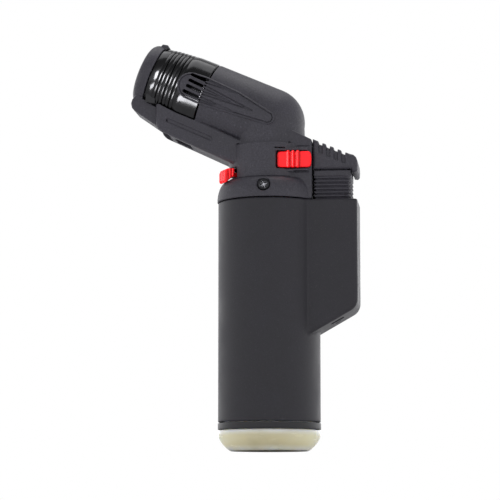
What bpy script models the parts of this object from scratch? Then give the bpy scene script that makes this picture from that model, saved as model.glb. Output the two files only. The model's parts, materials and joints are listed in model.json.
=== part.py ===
"""Angled-head jet torch lighter: a turned fuel tank in a finned sleeve, with a two-part moulded housing
that carries the burner, the flip cap, the trigger, the safety slider and the flame lever.

The origin is the centre of the flat base, +Z is up, the nozzle points to -X and the trigger is at +X.
Dimensions are in millimetres, and MM turns them into Blender's metres.
"""

import math

import bmesh
import bpy
from mathutils import Matrix, Vector

MM = 0.001
GAP = 0.3  # clearance between two pieces that touch on the real torch

# Fuel tank and its lid
TANK_R = 17.2
TANK_WALL = 1.6
TANK_TOP = 88.0
BASE_R = 18.9
BASE_TOP = 7.6
BASE_CURVE = 6.4
FOOT_R = 14.2
FLOOR_TOP = 3.0
FILL_X = 7.0
LID_TOP = 90.3
LUG_TOP = 98.8
WICK_R = 1.6

# Sleeve with its rear fin, and the trim ring below it
SLEEVE_R = 19.0
SLEEVE_BORE = 17.7
SLEEVE_LOW = 10.6
SLEEVE_TOP = 92.2
FIN_HALF = 11.4
FIN_REAR = 33.5
FIN_WALL = 1.6
FIN_SLOPE = math.radians(29.8)
FIN_SLOPE_FROM = (16.3, 42.5)
RING_R = 19.1
RING_TOP = 10.3

# Housing: dome, collar, rear block, neck and elbow
HOUSING_LOW = 92.5
WALL = 1.7
DOME_R = 19.4
DOME_HIGH = 7.8
COLLAR_R = 15.0
COLLAR_TOP = 113.4
BLOCK_HALF = 11.2
BLOCK_REAR = 16.8
BLOCK_TOP = ((9.9, 118.2), (16.8, 114.6))
NECK_R = 13.8
ELBOW_R = 13.3
SPLIT_GAP = 0.15  # half the gap between the two housing halves

# Head: everything along the burner's axis is placed by its distance s from the elbow's centre
ELBOW = (0.2, 0.0, 122.8)
HEAD_TILT = math.radians(22.8)
BARREL_END = 25.4
BARREL_END_R = 12.3
BARREL_BORE = 11.2
TUBE_R = 12.05
TUBE_BORE = 10.2
TUBE_FRONT = 46.9
TUBE_GROOVES = (42.9, 40.4, 38.0)
POD_R = 13.1
VENT_T = (4.3, 2.1, -0.1, -2.4)
VENT_S = (26.0, 32.4)

# Lower nozzle housing, a fork that holds the cap's hinge
FORK_HALF = 9.3
FORK_SLOT = 7.6
FORK_FRONT = -41.9
LEDGE_SLOPE = 0.4847
LEDGE_FROM = (-12.0, 115.95)
KEEL_SLOPE = 0.471
KEEL_FROM = (-16.5, 108.05)
HINGE_S = 36.0
HINGE_T = -15.0

# Flip cap
CAP_R = 12.1
CAP_BACK = 47.2
CAP_FRONT = 52.0
CAP_CROWN = 0.3
CAP_ROUND = 3.0
CAP_WALL = 1.6
TAB_HALF = 7.3

# Trigger, the slide below it and its stroke
TRIGGER_HALF = 10.4
TRIGGER_FRONT = 17.1
TRIGGER_TOP = 115.0
TRIGGER_LOW = 103.6
TRIGGER_SLOPE = math.radians(23.2)
TRIGGER_STROKE = 7.0
RIB_PITCH = 2.95
RIB_HIGH = 0.6
RIB_WIDE = 1.5
SLIDE_HALF = 9.5
SLIDE_REAR = 31.3
SLIDE_LOW = 84.0
SLIDE_GROOVES = 7
GROOVE_PITCH = 1.43
PIEZO_X = 24.5
PIEZO_TOP = 71.5

# Valve lever between the trigger and the outlet valve
LEVER_PIVOT = (8.0, 108.5)
VALVE_COLLAR = 105.5

# Flame lever, resting at the near end of its slot
FLAME_REST = math.radians(28.0)
FLAME_R = 18.7
FLAME_SLOT = 42.0  # half the slot's sweep, in degrees

# Safety slider on the near side
KNOB_X = (4.1, 16.6)
KNOB_Z = (103.9, 109.8)
KNOB_Y = (-13.6, -11.5)
LOCK_STROKE = 3.0

SCREW_AT = (-0.4, 97.0)

SMOOTH_ANGLE = math.radians(32)
HEAD = Matrix.Translation(Vector(ELBOW) * MM) @ Matrix.Rotation(HEAD_TILT - math.pi / 2, 4, "Y")
SIDE = Matrix.Rotation(math.pi / 2, 4, "X")  # an outline's x, y become X, Z and its thickness lies along Y
ALONG_Y = Matrix.Rotation(math.pi / 2, 4, "X")  # a turned piece's axis becomes -Y


# ---------------------------------------------------------------- scene and shape helpers


def clear_scene():
    for obj in list(bpy.data.objects):
        bpy.data.objects.remove(obj)


def new_collection(name):
    made = bpy.data.collections.new(name)
    bpy.context.scene.collection.children.link(made)
    return made


def material(name, color, roughness, metallic=0.0, alpha=1.0):
    made = bpy.data.materials.new(name)
    made.use_nodes = True
    shader = made.node_tree.nodes["Principled BSDF"]
    shader.inputs["Base Color"].default_value = (*color, 1.0)
    shader.inputs["Roughness"].default_value = roughness
    shader.inputs["Metallic"].default_value = metallic
    shader.inputs["Alpha"].default_value = alpha
    return made


def object_from(name, bm, frame):
    mesh = bpy.data.meshes.new(name)
    bm.to_mesh(mesh)
    bm.free()
    made = bpy.data.objects.new(name, mesh)
    made.matrix_world = frame
    return made


def block(name, low, high, frame=Matrix()):
    """A box between two corners."""
    low, high = Vector(low) * MM, Vector(high) * MM
    bm = bmesh.new()
    bmesh.ops.create_cube(bm, size=1.0)
    bmesh.ops.scale(bm, vec=high - low, verts=bm.verts)
    bmesh.ops.translate(bm, vec=(low + high) / 2, verts=bm.verts)
    return object_from(name, bm, frame)


def rod(name, radius, low, high, frame=Matrix(), segments=24, end_radius=None, at=(0, 0)):
    """A cylinder, or a cone, along the frame's Z."""
    bm = bmesh.new()
    end = radius if end_radius is None else end_radius
    bmesh.ops.create_cone(
        bm,
        cap_ends=True,
        segments=segments,
        radius1=radius * MM,
        radius2=end * MM,
        depth=(high - low) * MM,
    )
    middle = Vector((at[0], at[1], (low + high) / 2)) * MM
    bmesh.ops.translate(bm, vec=middle, verts=bm.verts)
    return object_from(name, bm, frame)


def ball(name, radius, frame, segments=32):
    bm = bmesh.new()
    bmesh.ops.create_uvsphere(bm, u_segments=segments, v_segments=segments // 2, radius=radius * MM)
    return object_from(name, bm, frame)


def turned(name, profile, frame=Matrix(), steps=32, ring=False):
    """A profile of (radius, height) turned about the frame's Z, running down its outer side.
    A ring's profile is a closed loop that stays off the axis."""
    bm = bmesh.new()
    points = [bm.verts.new((r * MM, 0, z * MM)) for r, z in profile]
    pairs = list(zip(points, points[1:]))
    if ring:
        pairs.append((points[-1], points[0]))
    for pair in pairs:
        bm.edges.new(pair)
    made = object_from(name, bm, frame)
    screw = made.modifiers.new("turn", "SCREW")
    screw.steps = steps
    screw.render_steps = steps
    screw.use_merge_vertices = True
    screw.merge_threshold = 0.00001
    return made


def mesh_of(obj):
    """The object's evaluated shape as a new mesh, with coincident points welded."""
    if not obj.users_collection:
        CUTTERS.objects.link(obj)
    bpy.context.view_layer.update()
    evaluated = obj.evaluated_get(bpy.context.evaluated_depsgraph_get())
    mesh = bpy.data.meshes.new_from_object(evaluated)
    bm = bmesh.new()
    bm.from_mesh(mesh)
    bmesh.ops.remove_doubles(bm, verts=bm.verts, dist=0.000001)
    bm.to_mesh(mesh)
    bm.free()
    return mesh


def settled(obj, name=None):
    """A new object with the evaluated shape of this one, which is removed."""
    mesh = mesh_of(obj)
    made = bpy.data.objects.new(name or obj.name, mesh)
    made.matrix_world = obj.matrix_world.copy()
    old_name = obj.name
    bpy.data.objects.remove(obj)
    made.name = name or old_name
    return made


def plate(name, outlines, low, high, frame=SIDE):
    """Flat outlines with thickness. In the SIDE frame low and high are Y; in a flat frame they are Z."""
    curve = bpy.data.curves.new(name, "CURVE")
    curve.dimensions = "2D"
    curve.fill_mode = "BOTH"
    curve.extrude = (high - low) / 2 * MM
    for outline in outlines:
        spline = curve.splines.new("POLY")
        spline.points.add(len(outline) - 1)
        for point, (x, y) in zip(spline.points, outline):
            point.co = (x * MM, y * MM, 0, 1)
        spline.use_cyclic_u = True
    made = bpy.data.objects.new(name, curve)
    made.matrix_world = frame
    shifted = settled(made)
    lift = (low + high) / 2 * MM
    if frame.to_3x3().col[2].y < -0.5:
        lift = -lift  # the SIDE frame's thickness axis points to -Y
    shifted.data.transform(Matrix.Translation((0, 0, lift)))
    return shifted


def tube(name, points, radius, resolution=2):
    """A wire or hose along points in millimetres."""
    curve = bpy.data.curves.new(name, "CURVE")
    curve.dimensions = "3D"
    curve.bevel_depth = radius * MM
    curve.bevel_resolution = resolution
    curve.use_fill_caps = True
    spline = curve.splines.new("POLY")
    spline.points.add(len(points) - 1)
    for point, place in zip(spline.points, points):
        point.co = (*(Vector(place) * MM), 1)
    return bpy.data.objects.new(name, curve)


def arc(centre, radius, start, end, count):
    """Points on an arc between two angles in degrees."""
    angles = [math.radians(start + (end - start) * i / count) for i in range(count + 1)]
    return [(centre[0] + radius * math.cos(a), centre[1] + radius * math.sin(a)) for a in angles]


def smooth_route(places, per_span):
    """Points on a Catmull-Rom curve through the places."""
    knots = [Vector(p) for p in places]
    knots = [2 * knots[0] - knots[1]] + knots + [2 * knots[-1] - knots[-2]]
    route = []
    for a, b, c, d in zip(knots, knots[1:], knots[2:], knots[3:]):
        for i in range(per_span):
            t = i / per_span
            bend = (c - a) * t + (2 * a - 5 * b + 4 * c - d) * t**2 + (3 * b - a - 3 * c + d) * t**3
            route.append(b + 0.5 * bend)
    return route + [knots[-2]]


def helix(radius, low, high, turns, at=(0, 0), per_turn=10):
    count = round(turns * per_turn)
    return [
        (
            at[0] + radius * math.cos(2 * math.pi * i / per_turn),
            at[1] + radius * math.sin(2 * math.pi * i / per_turn),
            low + (high - low) * i / count,
        )
        for i in range(count + 1)
    ]


def part(obj, finish):
    """Make the shape a piece of the torch."""
    if obj.users_collection:
        CUTTERS.objects.unlink(obj)
    TORCH.objects.link(obj)
    obj.data.materials.clear()
    obj.data.materials.append(finish)
    if obj.type == "MESH":
        obj.data.shade_smooth()
        obj.data.set_sharp_from_angle(angle=SMOOTH_ANGLE)
    return obj


def tool(obj):
    """Keep the shape only as another piece's cutter or addition."""
    if not obj.users_collection:
        CUTTERS.objects.link(obj)
    obj.hide_render = True
    obj.display_type = "WIRE"
    return obj


def combine(obj, others, operation):
    for other in others:
        step = obj.modifiers.new(f"{operation.lower()} {other.name}", "BOOLEAN")
        step.operation = operation
        step.solver = "EXACT"
        step.object = tool(other)
    return obj


def cut(obj, *others):
    return combine(obj, others, "DIFFERENCE")


def join(obj, *others):
    return combine(obj, others, "UNION")


def on_joint(name, place, *pieces):
    """Parent moving pieces to an empty on their joint's axis, without moving them."""
    empty = bpy.data.objects.new(name, None)
    empty.location = Vector(place) * MM
    TORCH.objects.link(empty)
    bpy.context.view_layer.update()
    for piece in pieces:
        piece.parent = empty
        piece.matrix_parent_inverse = empty.matrix_world.inverted()


def outward(place, side):
    """A frame at x, z on the middle plane whose Z points out to one side of the torch."""
    turn = Matrix.Rotation(0 if side < 0 else math.pi, 4, "Z")
    return Matrix.Translation((place[0] * MM, 0, place[1] * MM)) @ turn @ ALONG_Y


def head_point(s, t, y=0.0):
    """World millimetres of a point s along the head's axis and t above it."""
    return tuple(c / MM for c in HEAD @ (Vector((t, y, s)) * MM))


# ---------------------------------------------------------------- tank, valves and sleeve


def fuel_tank():
    corner = [
        (FOOT_R + (BASE_R - FOOT_R) * math.cos(a), BASE_CURVE * (1 - math.sin(a)))
        for a in (math.radians(15 * i) for i in range(7))
    ]
    inner = TANK_R - TANK_WALL
    profile = [(0, FLOOR_TOP), (inner - 2, FLOOR_TOP), (inner, FLOOR_TOP + 2), (inner, TANK_TOP)]
    profile += [(TANK_R, TANK_TOP), (TANK_R, BASE_TOP), (BASE_R, BASE_TOP), *corner, (0, 0)]
    tank = turned("fuel_tank", profile, steps=48)
    return part(cut(tank, rod("fill_hole", 3.4, -1, 5, at=(FILL_X, 0))), OLIVE)


def tank_lid():
    profile = [(TANK_R, LID_TOP), (TANK_R, TANK_TOP + GAP), (15.3, TANK_TOP + GAP), (15.3, 85), (13.8, 85)]
    profile += [(13.8, 88.3), (6, 88.3), (6, 86), (3.4, 86), (3.4, 93), (6, 93), (6, LID_TOP)]
    lid = settled(turned("tank_lid", profile, steps=32, ring=True))
    for side in (-1, 1):
        ends = sorted((side * 9.6, side * 13.4))
        lug = block("lug", (SCREW_AT[0] - 2.6, ends[0], LID_TOP - 0.5), (SCREW_AT[0] + 2.6, ends[1], LUG_TOP))
        cut(join(lid, lug), rod("lug_bore", 1.5, 8, 17, outward(SCREW_AT, side), 16))
    return part(lid, BLACK_PLASTIC)


def fill_valve():
    at = Matrix.Translation((FILL_X * MM, 0, 0))
    profile = [(4.6, 5.5), (4.6, 4.3), (3.1, 4.3), (3.1, 0.7), (1.3, 0.7), (1.3, 4.6)]
    profile += [(2.2, 4.6), (2.2, 11.4), (0.8, 11.4), (0.8, 12.2), (3.1, 12.2), (3.1, 5.5)]
    part(turned("fill_valve_body", profile, at, 16, ring=True), BRASS)
    seal = [(4.4, 4.0), (4.4, 3.3), (3.4, 3.3), (3.4, 4.0)]
    part(turned("fill_valve_seal", seal, at, 20, ring=True), RUBBER)
    stem = [(0, 6.2), (1.8, 6.2), (1.8, 4.9), (1.0, 4.9), (1.0, 0.9), (0, 0.9)]
    stem = part(turned("fill_valve_stem", stem, at, 16), BRASS)
    on_joint("fill_stem_joint", (FILL_X, 0, 0.9), stem)
    part(tube("fill_valve_spring", helix(1.45, 6.8, 10.8, 4, at=(FILL_X, 0), per_turn=7), 0.25, 0), STEEL)


def outlet_valve():
    profile = [(2.9, 103.5), (2.9, 96.3), (5.2, 96.3), (5.2, 93.3), (3.1, 93.3), (3.1, 84)]
    profile += [(0.7, 84), (0.7, 87), (2.3, 87), (2.3, 98), (1.6, 98), (1.6, 103.5)]
    part(turned("outlet_valve_body", profile, steps=18, ring=True), BRASS)
    stem = [(0, 109.7), (1.3, 109.7), (1.3, 106.6), (3.2, 106.6), (3.2, VALVE_COLLAR), (1.3, VALVE_COLLAR)]
    stem += [(1.3, 89.2), (1.9, 89.2), (1.9, 88.0), (0, 88.0)]
    stem = part(turned("outlet_valve_stem", stem, steps=16), BRASS)
    on_joint("outlet_stem_joint", (0, 0, 88), stem)
    part(tube("outlet_valve_spring", helix(1.8, 89.8, 97.4, 5, per_turn=7), 0.2, 0), STEEL)
    part(rod("wick", WICK_R, 4, 83.6, segments=12), WICK_FIBRE)


def fin_outline(inset, top):
    """Side outline of the fin, or of its pocket when inset by the wall."""
    rear = FIN_REAR - inset
    lift = inset / math.cos(FIN_SLOPE)
    x0, z0 = FIN_SLOPE_FROM
    front = 12.0
    low_front = z0 + lift + (front - x0) * math.tan(FIN_SLOPE)
    radius = 5.0 - inset
    low_corner = z0 + lift + (rear - x0) * math.tan(FIN_SLOPE)
    reach = radius * math.tan((math.pi / 2 - FIN_SLOPE) / 2)
    centre = (rear - radius, low_corner + reach)
    turn = math.degrees(FIN_SLOPE) - 90
    return [(front, top), (front, low_front), *arc(centre, radius, turn, 0, 5), (rear, top)]


def tank_sleeve():
    sleeve = rod("tank_sleeve", SLEEVE_R, SLEEVE_LOW, SLEEVE_TOP, segments=56)
    join(sleeve, plate("fin", [fin_outline(0, SLEEVE_TOP)], -FIN_HALF, FIN_HALF))
    inner_half = FIN_HALF - FIN_WALL
    pocket = plate("fin_pocket", [fin_outline(FIN_WALL, SLEEVE_TOP + 1)], -inner_half, inner_half)
    x, z = 25.5, FIN_SLOPE_FROM[1] + (25.5 - FIN_SLOPE_FROM[0]) * math.tan(FIN_SLOPE)
    drains = [
        block("drain_slot", (x - 2.2, -5.4, z - 5), (x + 2.2, -1.4, z + 6)),
        block("drain_slot", (x - 1.0, 1.2, z - 5), (x + 1.0, 3.2, z + 6)),
    ]
    return part(cut(sleeve, rod("bore", SLEEVE_BORE, 9, 94, segments=48), pocket, *drains), SOFT_BLACK)


def base_ring():
    low = BASE_TOP + 0.25
    profile = [(RING_R, RING_TOP), (RING_R, low), (SLEEVE_BORE, low), (SLEEVE_BORE, RING_TOP)]
    return part(turned("base_ring", profile, steps=48, ring=True), BLACK_PLASTIC)


# ---------------------------------------------------------------- housing


def dome_points(inset):
    """The housing's shoulder from the collar's foot down to the sleeve, a quarter ellipse."""
    top = COLLAR_R + 0.6
    count = 6
    angles = [math.pi / 2 * (count - i) / count for i in range(count + 1)]
    return [
        (top - inset + (DOME_R - top) * math.cos(a), HOUSING_LOW + (DOME_HIGH - inset * 0.8) * math.sin(a))
        for a in angles
    ]


def lower_outline():
    """Side outline of the lower nozzle housing: ledge above, keel below, a rounded nose."""
    x0, z0 = LEDGE_FROM
    ledge_front = z0 + (x0 - FORK_FRONT) * LEDGE_SLOPE
    nose_r = 5.0
    keel_angle = math.atan(KEEL_SLOPE)
    x1, z1 = KEEL_FROM
    keel_front = z1 + (x1 - FORK_FRONT) * KEEL_SLOPE
    reach = nose_r * math.tan((math.pi / 2 - keel_angle) / 2)
    centre = (FORK_FRONT + nose_r, keel_front + reach)
    nose = arc(centre, nose_r, 180, 270 - math.degrees(keel_angle), 5)
    rear = -4.0
    return [
        (rear, z0 - (rear - x0) * LEDGE_SLOPE),
        (FORK_FRONT, ledge_front),
        *nose,
        (rear, z1 - (rear - x1) * KEEL_SLOPE),
    ]


def housing_outside():
    """The whole outer form of both halves."""
    profile = [(0, COLLAR_TOP), (COLLAR_R, COLLAR_TOP), (COLLAR_R, HOUSING_LOW + DOME_HIGH + 0.05)]
    profile += dome_points(0) + [(0, HOUSING_LOW)]
    form = turned("housing_form", profile, steps=48)
    (x0, z0), (x1, z1) = BLOCK_TOP
    rear_block = [(0, HOUSING_LOW), (BLOCK_REAR, HOUSING_LOW), (x1, z1), (x0, z0), (0, z0)]
    join(
        form,
        plate("rear_block", [rear_block], -BLOCK_HALF, BLOCK_HALF),
        rod("neck", NECK_R, COLLAR_TOP - 2, ELBOW[2], segments=32, end_radius=ELBOW_R),
        ball("elbow", ELBOW_R, HEAD, 32),
        rod("barrel", ELBOW_R - 0.15, 0, BARREL_END, HEAD, 32, BARREL_END_R),
        plate("fork", [lower_outline()], -FORK_HALF, FORK_HALF),
    )
    behind = block("behind_block", (BLOCK_REAR, -30, 80), (40, 30, 130))
    return cut(form, behind, rod("tube_room", TUBE_R + GAP, BARREL_END, 60, HEAD, 40))


def housing_hollow():
    """Everything that is empty inside the two halves."""
    inner = dome_points(WALL)
    foot = HOUSING_LOW - 1
    hollow = [(0, 112), (COLLAR_R - WALL, 112), (COLLAR_R - WALL, inner[0][1])]
    hollow += inner[1:] + [(inner[-1][0], foot), (0, foot)]
    room = turned("housing_room", hollow, steps=32)
    (x0, z0), (x1, z1) = BLOCK_TOP
    rear = BLOCK_REAR - WALL
    rise = (z0 - z1) / (x1 - x0)
    block_room = [(0, foot), (rear, foot), (rear, z1 - WALL), (x0, z0 - 2 * WALL - rise), (0, z0 - 2 * WALL)]
    slot = FORK_SLOT
    join(
        room,
        plate("block_room", [block_room], -BLOCK_HALF + WALL, BLOCK_HALF - WALL),
        rod("neck_room", NECK_R - 2, 111, ELBOW[2], segments=24, end_radius=ELBOW_R - 2),
        ball("elbow_room", ELBOW_R - 2, HEAD, 24),
        rod("barrel_room", BARREL_BORE, 0, BARREL_END + 5, HEAD, 28),
        block("keel_room", (-17.6, -slot, 8), (-8, slot, 30.8), HEAD),
        block("hinge_room", (-30, -slot, 32.3), (-8, slot, 60), HEAD),
        block("keel_slot", (-30, -5.2, 23.8), (-16, 5.2, 30.4), HEAD),
    )
    return cut(room, block("rear_wall", (rear, -30, 80), (40, 30, 130)))


def pod(side):
    """The vent panel: a long finger that lies over the barrel and reaches forward over the metal tube."""
    outline = [(-5.0, 12.0), (-4.9, 26.6), (-4.6, 31.2)]
    outline += arc((0.3, 31.0), 4.2, 170, 10, 6)
    outline += [(5.0, 30.0), (5.3, 26.5), (5.0, 12.0)]
    ends = sorted((side * 2.0, side * 15.0))
    made = plate("pod", [outline], ends[0], ends[1], HEAD @ SIDE)
    ring = [(POD_R, 36), (POD_R, 11), (TUBE_R + GAP, 11), (TUBE_R + GAP, 36)]
    combine(made, [turned("pod_skin", ring, HEAD, 40, ring=True)], "INTERSECT")
    return made


def vents(side):
    ends = sorted((side * 9.0, side * 15.0))
    return [block("vent", (t - 0.5, ends[0], VENT_S[0]), (t + 0.5, ends[1], VENT_S[1]), HEAD) for t in VENT_T]


def screw_hole(side):
    """Counterbore for the screw's head and the clearance hole behind it."""
    profile = [(0, 22), (2.5, 22), (2.5, 17.2), (1.5, 17.2), (1.5, 12), (0, 12)]
    return turned("screw_hole", profile, outward(SCREW_AT, side), 20)


def housing_half(name, side, form, room):
    """One moulded half: the near one has side -1 and also carries the safety slider."""
    half = bpy.data.objects.new(name, form)
    far = block("beyond_split", (-80, -40, 80), (60, 40, 170))
    shift = (40 - SPLIT_GAP) * -side
    far.data.transform(Matrix.Translation((0, shift * MM, 0)))
    cut(half, room, far)
    pivot = outward(LEVER_PIVOT, side)
    join(half, pod(side), rod("pivot_boss", 2.6, 5.8, 10.4, pivot, 20))
    first, last = 180 - FLAME_SLOT, 180 + FLAME_SLOT
    sector = [*arc((0, 0), 17.5, first, last, 8), *arc((0, 0), 11.0, last, first, 6)]
    flame_slot = plate("flame_slot", [sector], 101.0, 104.9, Matrix())
    rear_window = block("rear_window", (13, -3.0, 91), (18, 3.0, 113))
    hinge = HEAD @ Matrix.Translation((HINGE_T * MM, 0, HINGE_S * MM)) @ ALONG_Y
    hinge_bore = rod("hinge_bore", 1.3, -8.7, 8.7, hinge, 16)
    if side < 0:
        pad = block("slider_pad", (2.4, -12.9, 102.3), (15.5, -9.3, 111.3))
        join(half, pad)
        low, high = (KNOB_X[0] - 0.4, -20, KNOB_Z[0] - 0.4), (22, -BLOCK_HALF, KNOB_Z[1] + 0.4)
        cut(half, block("knob_recess", low, high))
        cut(half, block("shank_slot", (10.9, -14, 105.4), (15.9, -8, 108.4)))
        cut(half, block("tongue_window", (14, -9.3, 105.1), (18, -7.2, 108.7)))
    cut(half, rod("pivot_bore", 1.5, 4, 8.8, pivot, 16), flame_slot, rear_window, hinge_bore)
    cut(half, screw_hole(side), *vents(side))
    return part(half, TEXTURED_BLACK)


def housing():
    form = settled(tool(housing_outside()), "housing_outer")
    room = tool(settled(tool(housing_hollow()), "housing_inner"))
    shape = form.data
    bpy.data.objects.remove(form)
    housing_half("housing_near", -1, shape, room)
    housing_half("housing_far", 1, shape.copy(), room)


def housing_screws():
    for name, side in (("housing_screw_near", -1), ("housing_screw_far", 1)):
        frame = outward(SCREW_AT, side)
        head = [(0, 18.4), (1.7, 18.3), (2.2, 17.9), (2.2, 17.5), (1.2, 17.5), (1.2, 10.6), (0, 10.3)]
        screw = turned(name, head, frame, 20)
        cross = [
            block("driver_slot", (-1.3, -0.25, 17.4), (1.3, 0.25, 20), frame),
            block("driver_slot", (-0.25, -1.3, 17.4), (0.25, 1.3, 20), frame),
        ]
        part(cut(screw, *cross), BLACK_STEEL)


# ---------------------------------------------------------------- burner


def nozzle_sleeve():
    depth, half = 0.45, 0.35
    profile = [(TUBE_R - 0.35, TUBE_FRONT), (TUBE_R, TUBE_FRONT - 0.35)]
    for s in TUBE_GROOVES:
        profile += [(TUBE_R, s + half), (TUBE_R - depth, s), (TUBE_R, s - half)]
    profile += [(TUBE_R, 25.75), (10.85, 25.75), (10.85, 20), (TUBE_BORE, 20), (TUBE_BORE, TUBE_FRONT)]
    sleeve = turned("nozzle_sleeve", profile, HEAD, 36, ring=True)
    return part(cut(sleeve, *vents(-1), *vents(1)), BLACK_NICKEL)


def burner():
    ring = [(8.2, 38.5), (8.2, 12), (7.2, 12), (7.2, 38.5)]
    part(turned("burner_tube", ring, HEAD, 24, ring=True), STEEL)
    disc = [(0, 38.0), (6.9, 38.0), (6.9, 36.4), (0, 36.4)]
    holes = [rod("flame_hole", 0.9, 35, 40, HEAD, 8)]
    for i in range(6):
        a = math.pi / 3 * i
        holes.append(rod("flame_hole", 0.9, 35, 40, HEAD, 8, at=(4.2 * math.cos(a), 4.2 * math.sin(a))))
    part(cut(turned("flame_disc", disc, HEAD, 20), *holes), CERAMIC)
    jet = [(0, 13), (0.9, 13), (1.5, 11), (3.0, 10.6), (3.0, 6.4), (4.0, 6.2), (4.0, 5.2), (3.0, 5.0)]
    part(turned("gas_jet", [*jet, (2.2, 4.0), (0, 4.0)], HEAD, 14), BRASS)
    collar = [(10.9, 18), (10.9, 13), (8.5, 13), (8.5, 18)]
    part(turned("burner_collar", collar, HEAD, 24, ring=True), CERAMIC)
    seat = Matrix.Translation((5.0 * MM, 0, 0))
    insulator = [(1.4, 30), (1.4, 9), (0.8, 9), (0.8, 30)]
    part(turned("electrode_insulator", insulator, HEAD @ seat, 10, ring=True), CERAMIC)
    rows = [(7.0, 5.0), (12, 5.0), (20, 5.0), (31.5, 5.0), (33.6, 4.6), (35.4, 3.4)]
    part(tube("electrode", [head_point(s, t) for s, t in rows], 0.45, 1), STEEL)


def gas_hose():
    start = [(0, 0, 110.0), (0, 0, 112.5), (-0.1, 0, 116.5)]
    end = [head_point(-2.6, -0.9), head_point(1.2, 0), head_point(3.7, 0)]
    return part(tube("gas_hose", smooth_route(start + end, 3), 1.5, 1), RUBBER)


def ignition_wire():
    places = [(19.1, 0, 72.2), (18.6, 0, 78), (18.5, 0, 88), (17.6, 0.4, 92.4), (14, 2.2, 93.0)]
    places += [(9, 5.6, 94.0), (5.2, 7.6, 97.5), (3.2, 8.2, 104), (3.0, 7.6, 112), (3.0, 5.0, 119)]
    places += [head_point(2.0, 5.6, 2.0), head_point(5.0, 5.1, 0.2), head_point(6.5, 5.0)]
    return part(tube("ignition_wire", smooth_route(places, 3), 0.55, 0), RED_RUBBER)


# ---------------------------------------------------------------- moving pieces


def flip_cap():
    """The closed cap, its tab and its two hinge lobes, all turning on the pin in the fork."""
    rim = arc((CAP_R - CAP_ROUND, CAP_FRONT - CAP_ROUND), CAP_ROUND, 90, 0, 5)
    crown = [(0, CAP_FRONT + CAP_CROWN), (5.5, CAP_FRONT + 0.7 * CAP_CROWN)]
    profile = [*crown, *rim, (CAP_R, CAP_BACK), (0, CAP_BACK)]
    cap = turned("flip_cap", profile, HEAD, 40)
    tab = [(-9.0, CAP_FRONT - 2.0), (-11.6, 50.8), (-13.2, 50.6), (-14.6, 49.6), (-15.3, 48.2)]
    tab += [(-17.5, HINGE_S + 2.0), *arc((HINGE_T, HINGE_S), 2.5, 180, 360, 8)]
    tab += [(-12.5, HINGE_S + 2.5), (-9.5, HINGE_S + 5.0)]
    lip = [(11.2, 46.0), (12.9, 46.0), (13.3, 46.8), (12.9, 48.8), (11.2, 49.2)]
    join(cap, plate("cap_tab", [tab], -TAB_HALF, TAB_HALF, HEAD @ SIDE))
    join(cap, plate("thumb_lip", [lip], -4.5, 4.5, HEAD @ SIDE))
    hinge = HEAD @ Matrix.Translation((HINGE_T * MM, 0, HINGE_S * MM)) @ ALONG_Y
    cut(
        cap,
        rod("cap_tube_room", TUBE_R + GAP, 25, CAP_BACK + 0.02, HEAD, 32),
        rod("cap_hollow", CAP_R - CAP_WALL, CAP_BACK - 1, CAP_FRONT - CAP_WALL, HEAD, 32),
        rod("hinge_eye", 1.3, -9, 9, hinge, 16),
        block("spring_room", (-19, -2.6, HINGE_S - 4), (-11, 2.6, HINGE_S + 2.9), HEAD),
    )
    cap = part(cap, TEXTURED_BLACK)
    on_joint("flip_cap_joint", head_point(HINGE_S, HINGE_T), cap)
    part(rod("cap_hinge_pin", 1.0, -8.4, 8.4, hinge, 16), STEEL)
    x, _, z = head_point(HINGE_S, HINGE_T)
    coil = [(x + px, y, z + pz) for px, pz, y in helix(1.7, -2.0, 2.0, 4, per_turn=8)]
    part(tube("cap_spring", coil, 0.28, 0), STEEL)


def trigger_outline():
    """Side outline of the trigger: a sloping top with cross ribs, a round heel and a small rear lip."""
    fall = math.tan(TRIGGER_SLOPE)
    points = [(TRIGGER_FRONT, TRIGGER_LOW), (32.0, TRIGGER_LOW), (32.3, 102.5), (33.7, 102.4), (33.9, 103.4)]
    points += [(33.4, 104.4), (33.3, 106.2), (32.6, 107.6), (31.4, 108.4)]
    for i in reversed(range(5)):
        x = TRIGGER_FRONT + 0.2 + i * RIB_PITCH
        base = TRIGGER_TOP - RIB_HIGH - (x - TRIGGER_FRONT) * fall
        foot = base - RIB_WIDE * fall
        points += [(x + RIB_WIDE, foot), (x + RIB_WIDE - 0.4, foot + RIB_HIGH)]
        points += [(x + 0.2, base + RIB_HIGH - 0.1)]
        if i:
            points += [(x - 0.1, base)]
    return points + [(TRIGGER_FRONT, TRIGGER_TOP - 0.2)]


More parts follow.
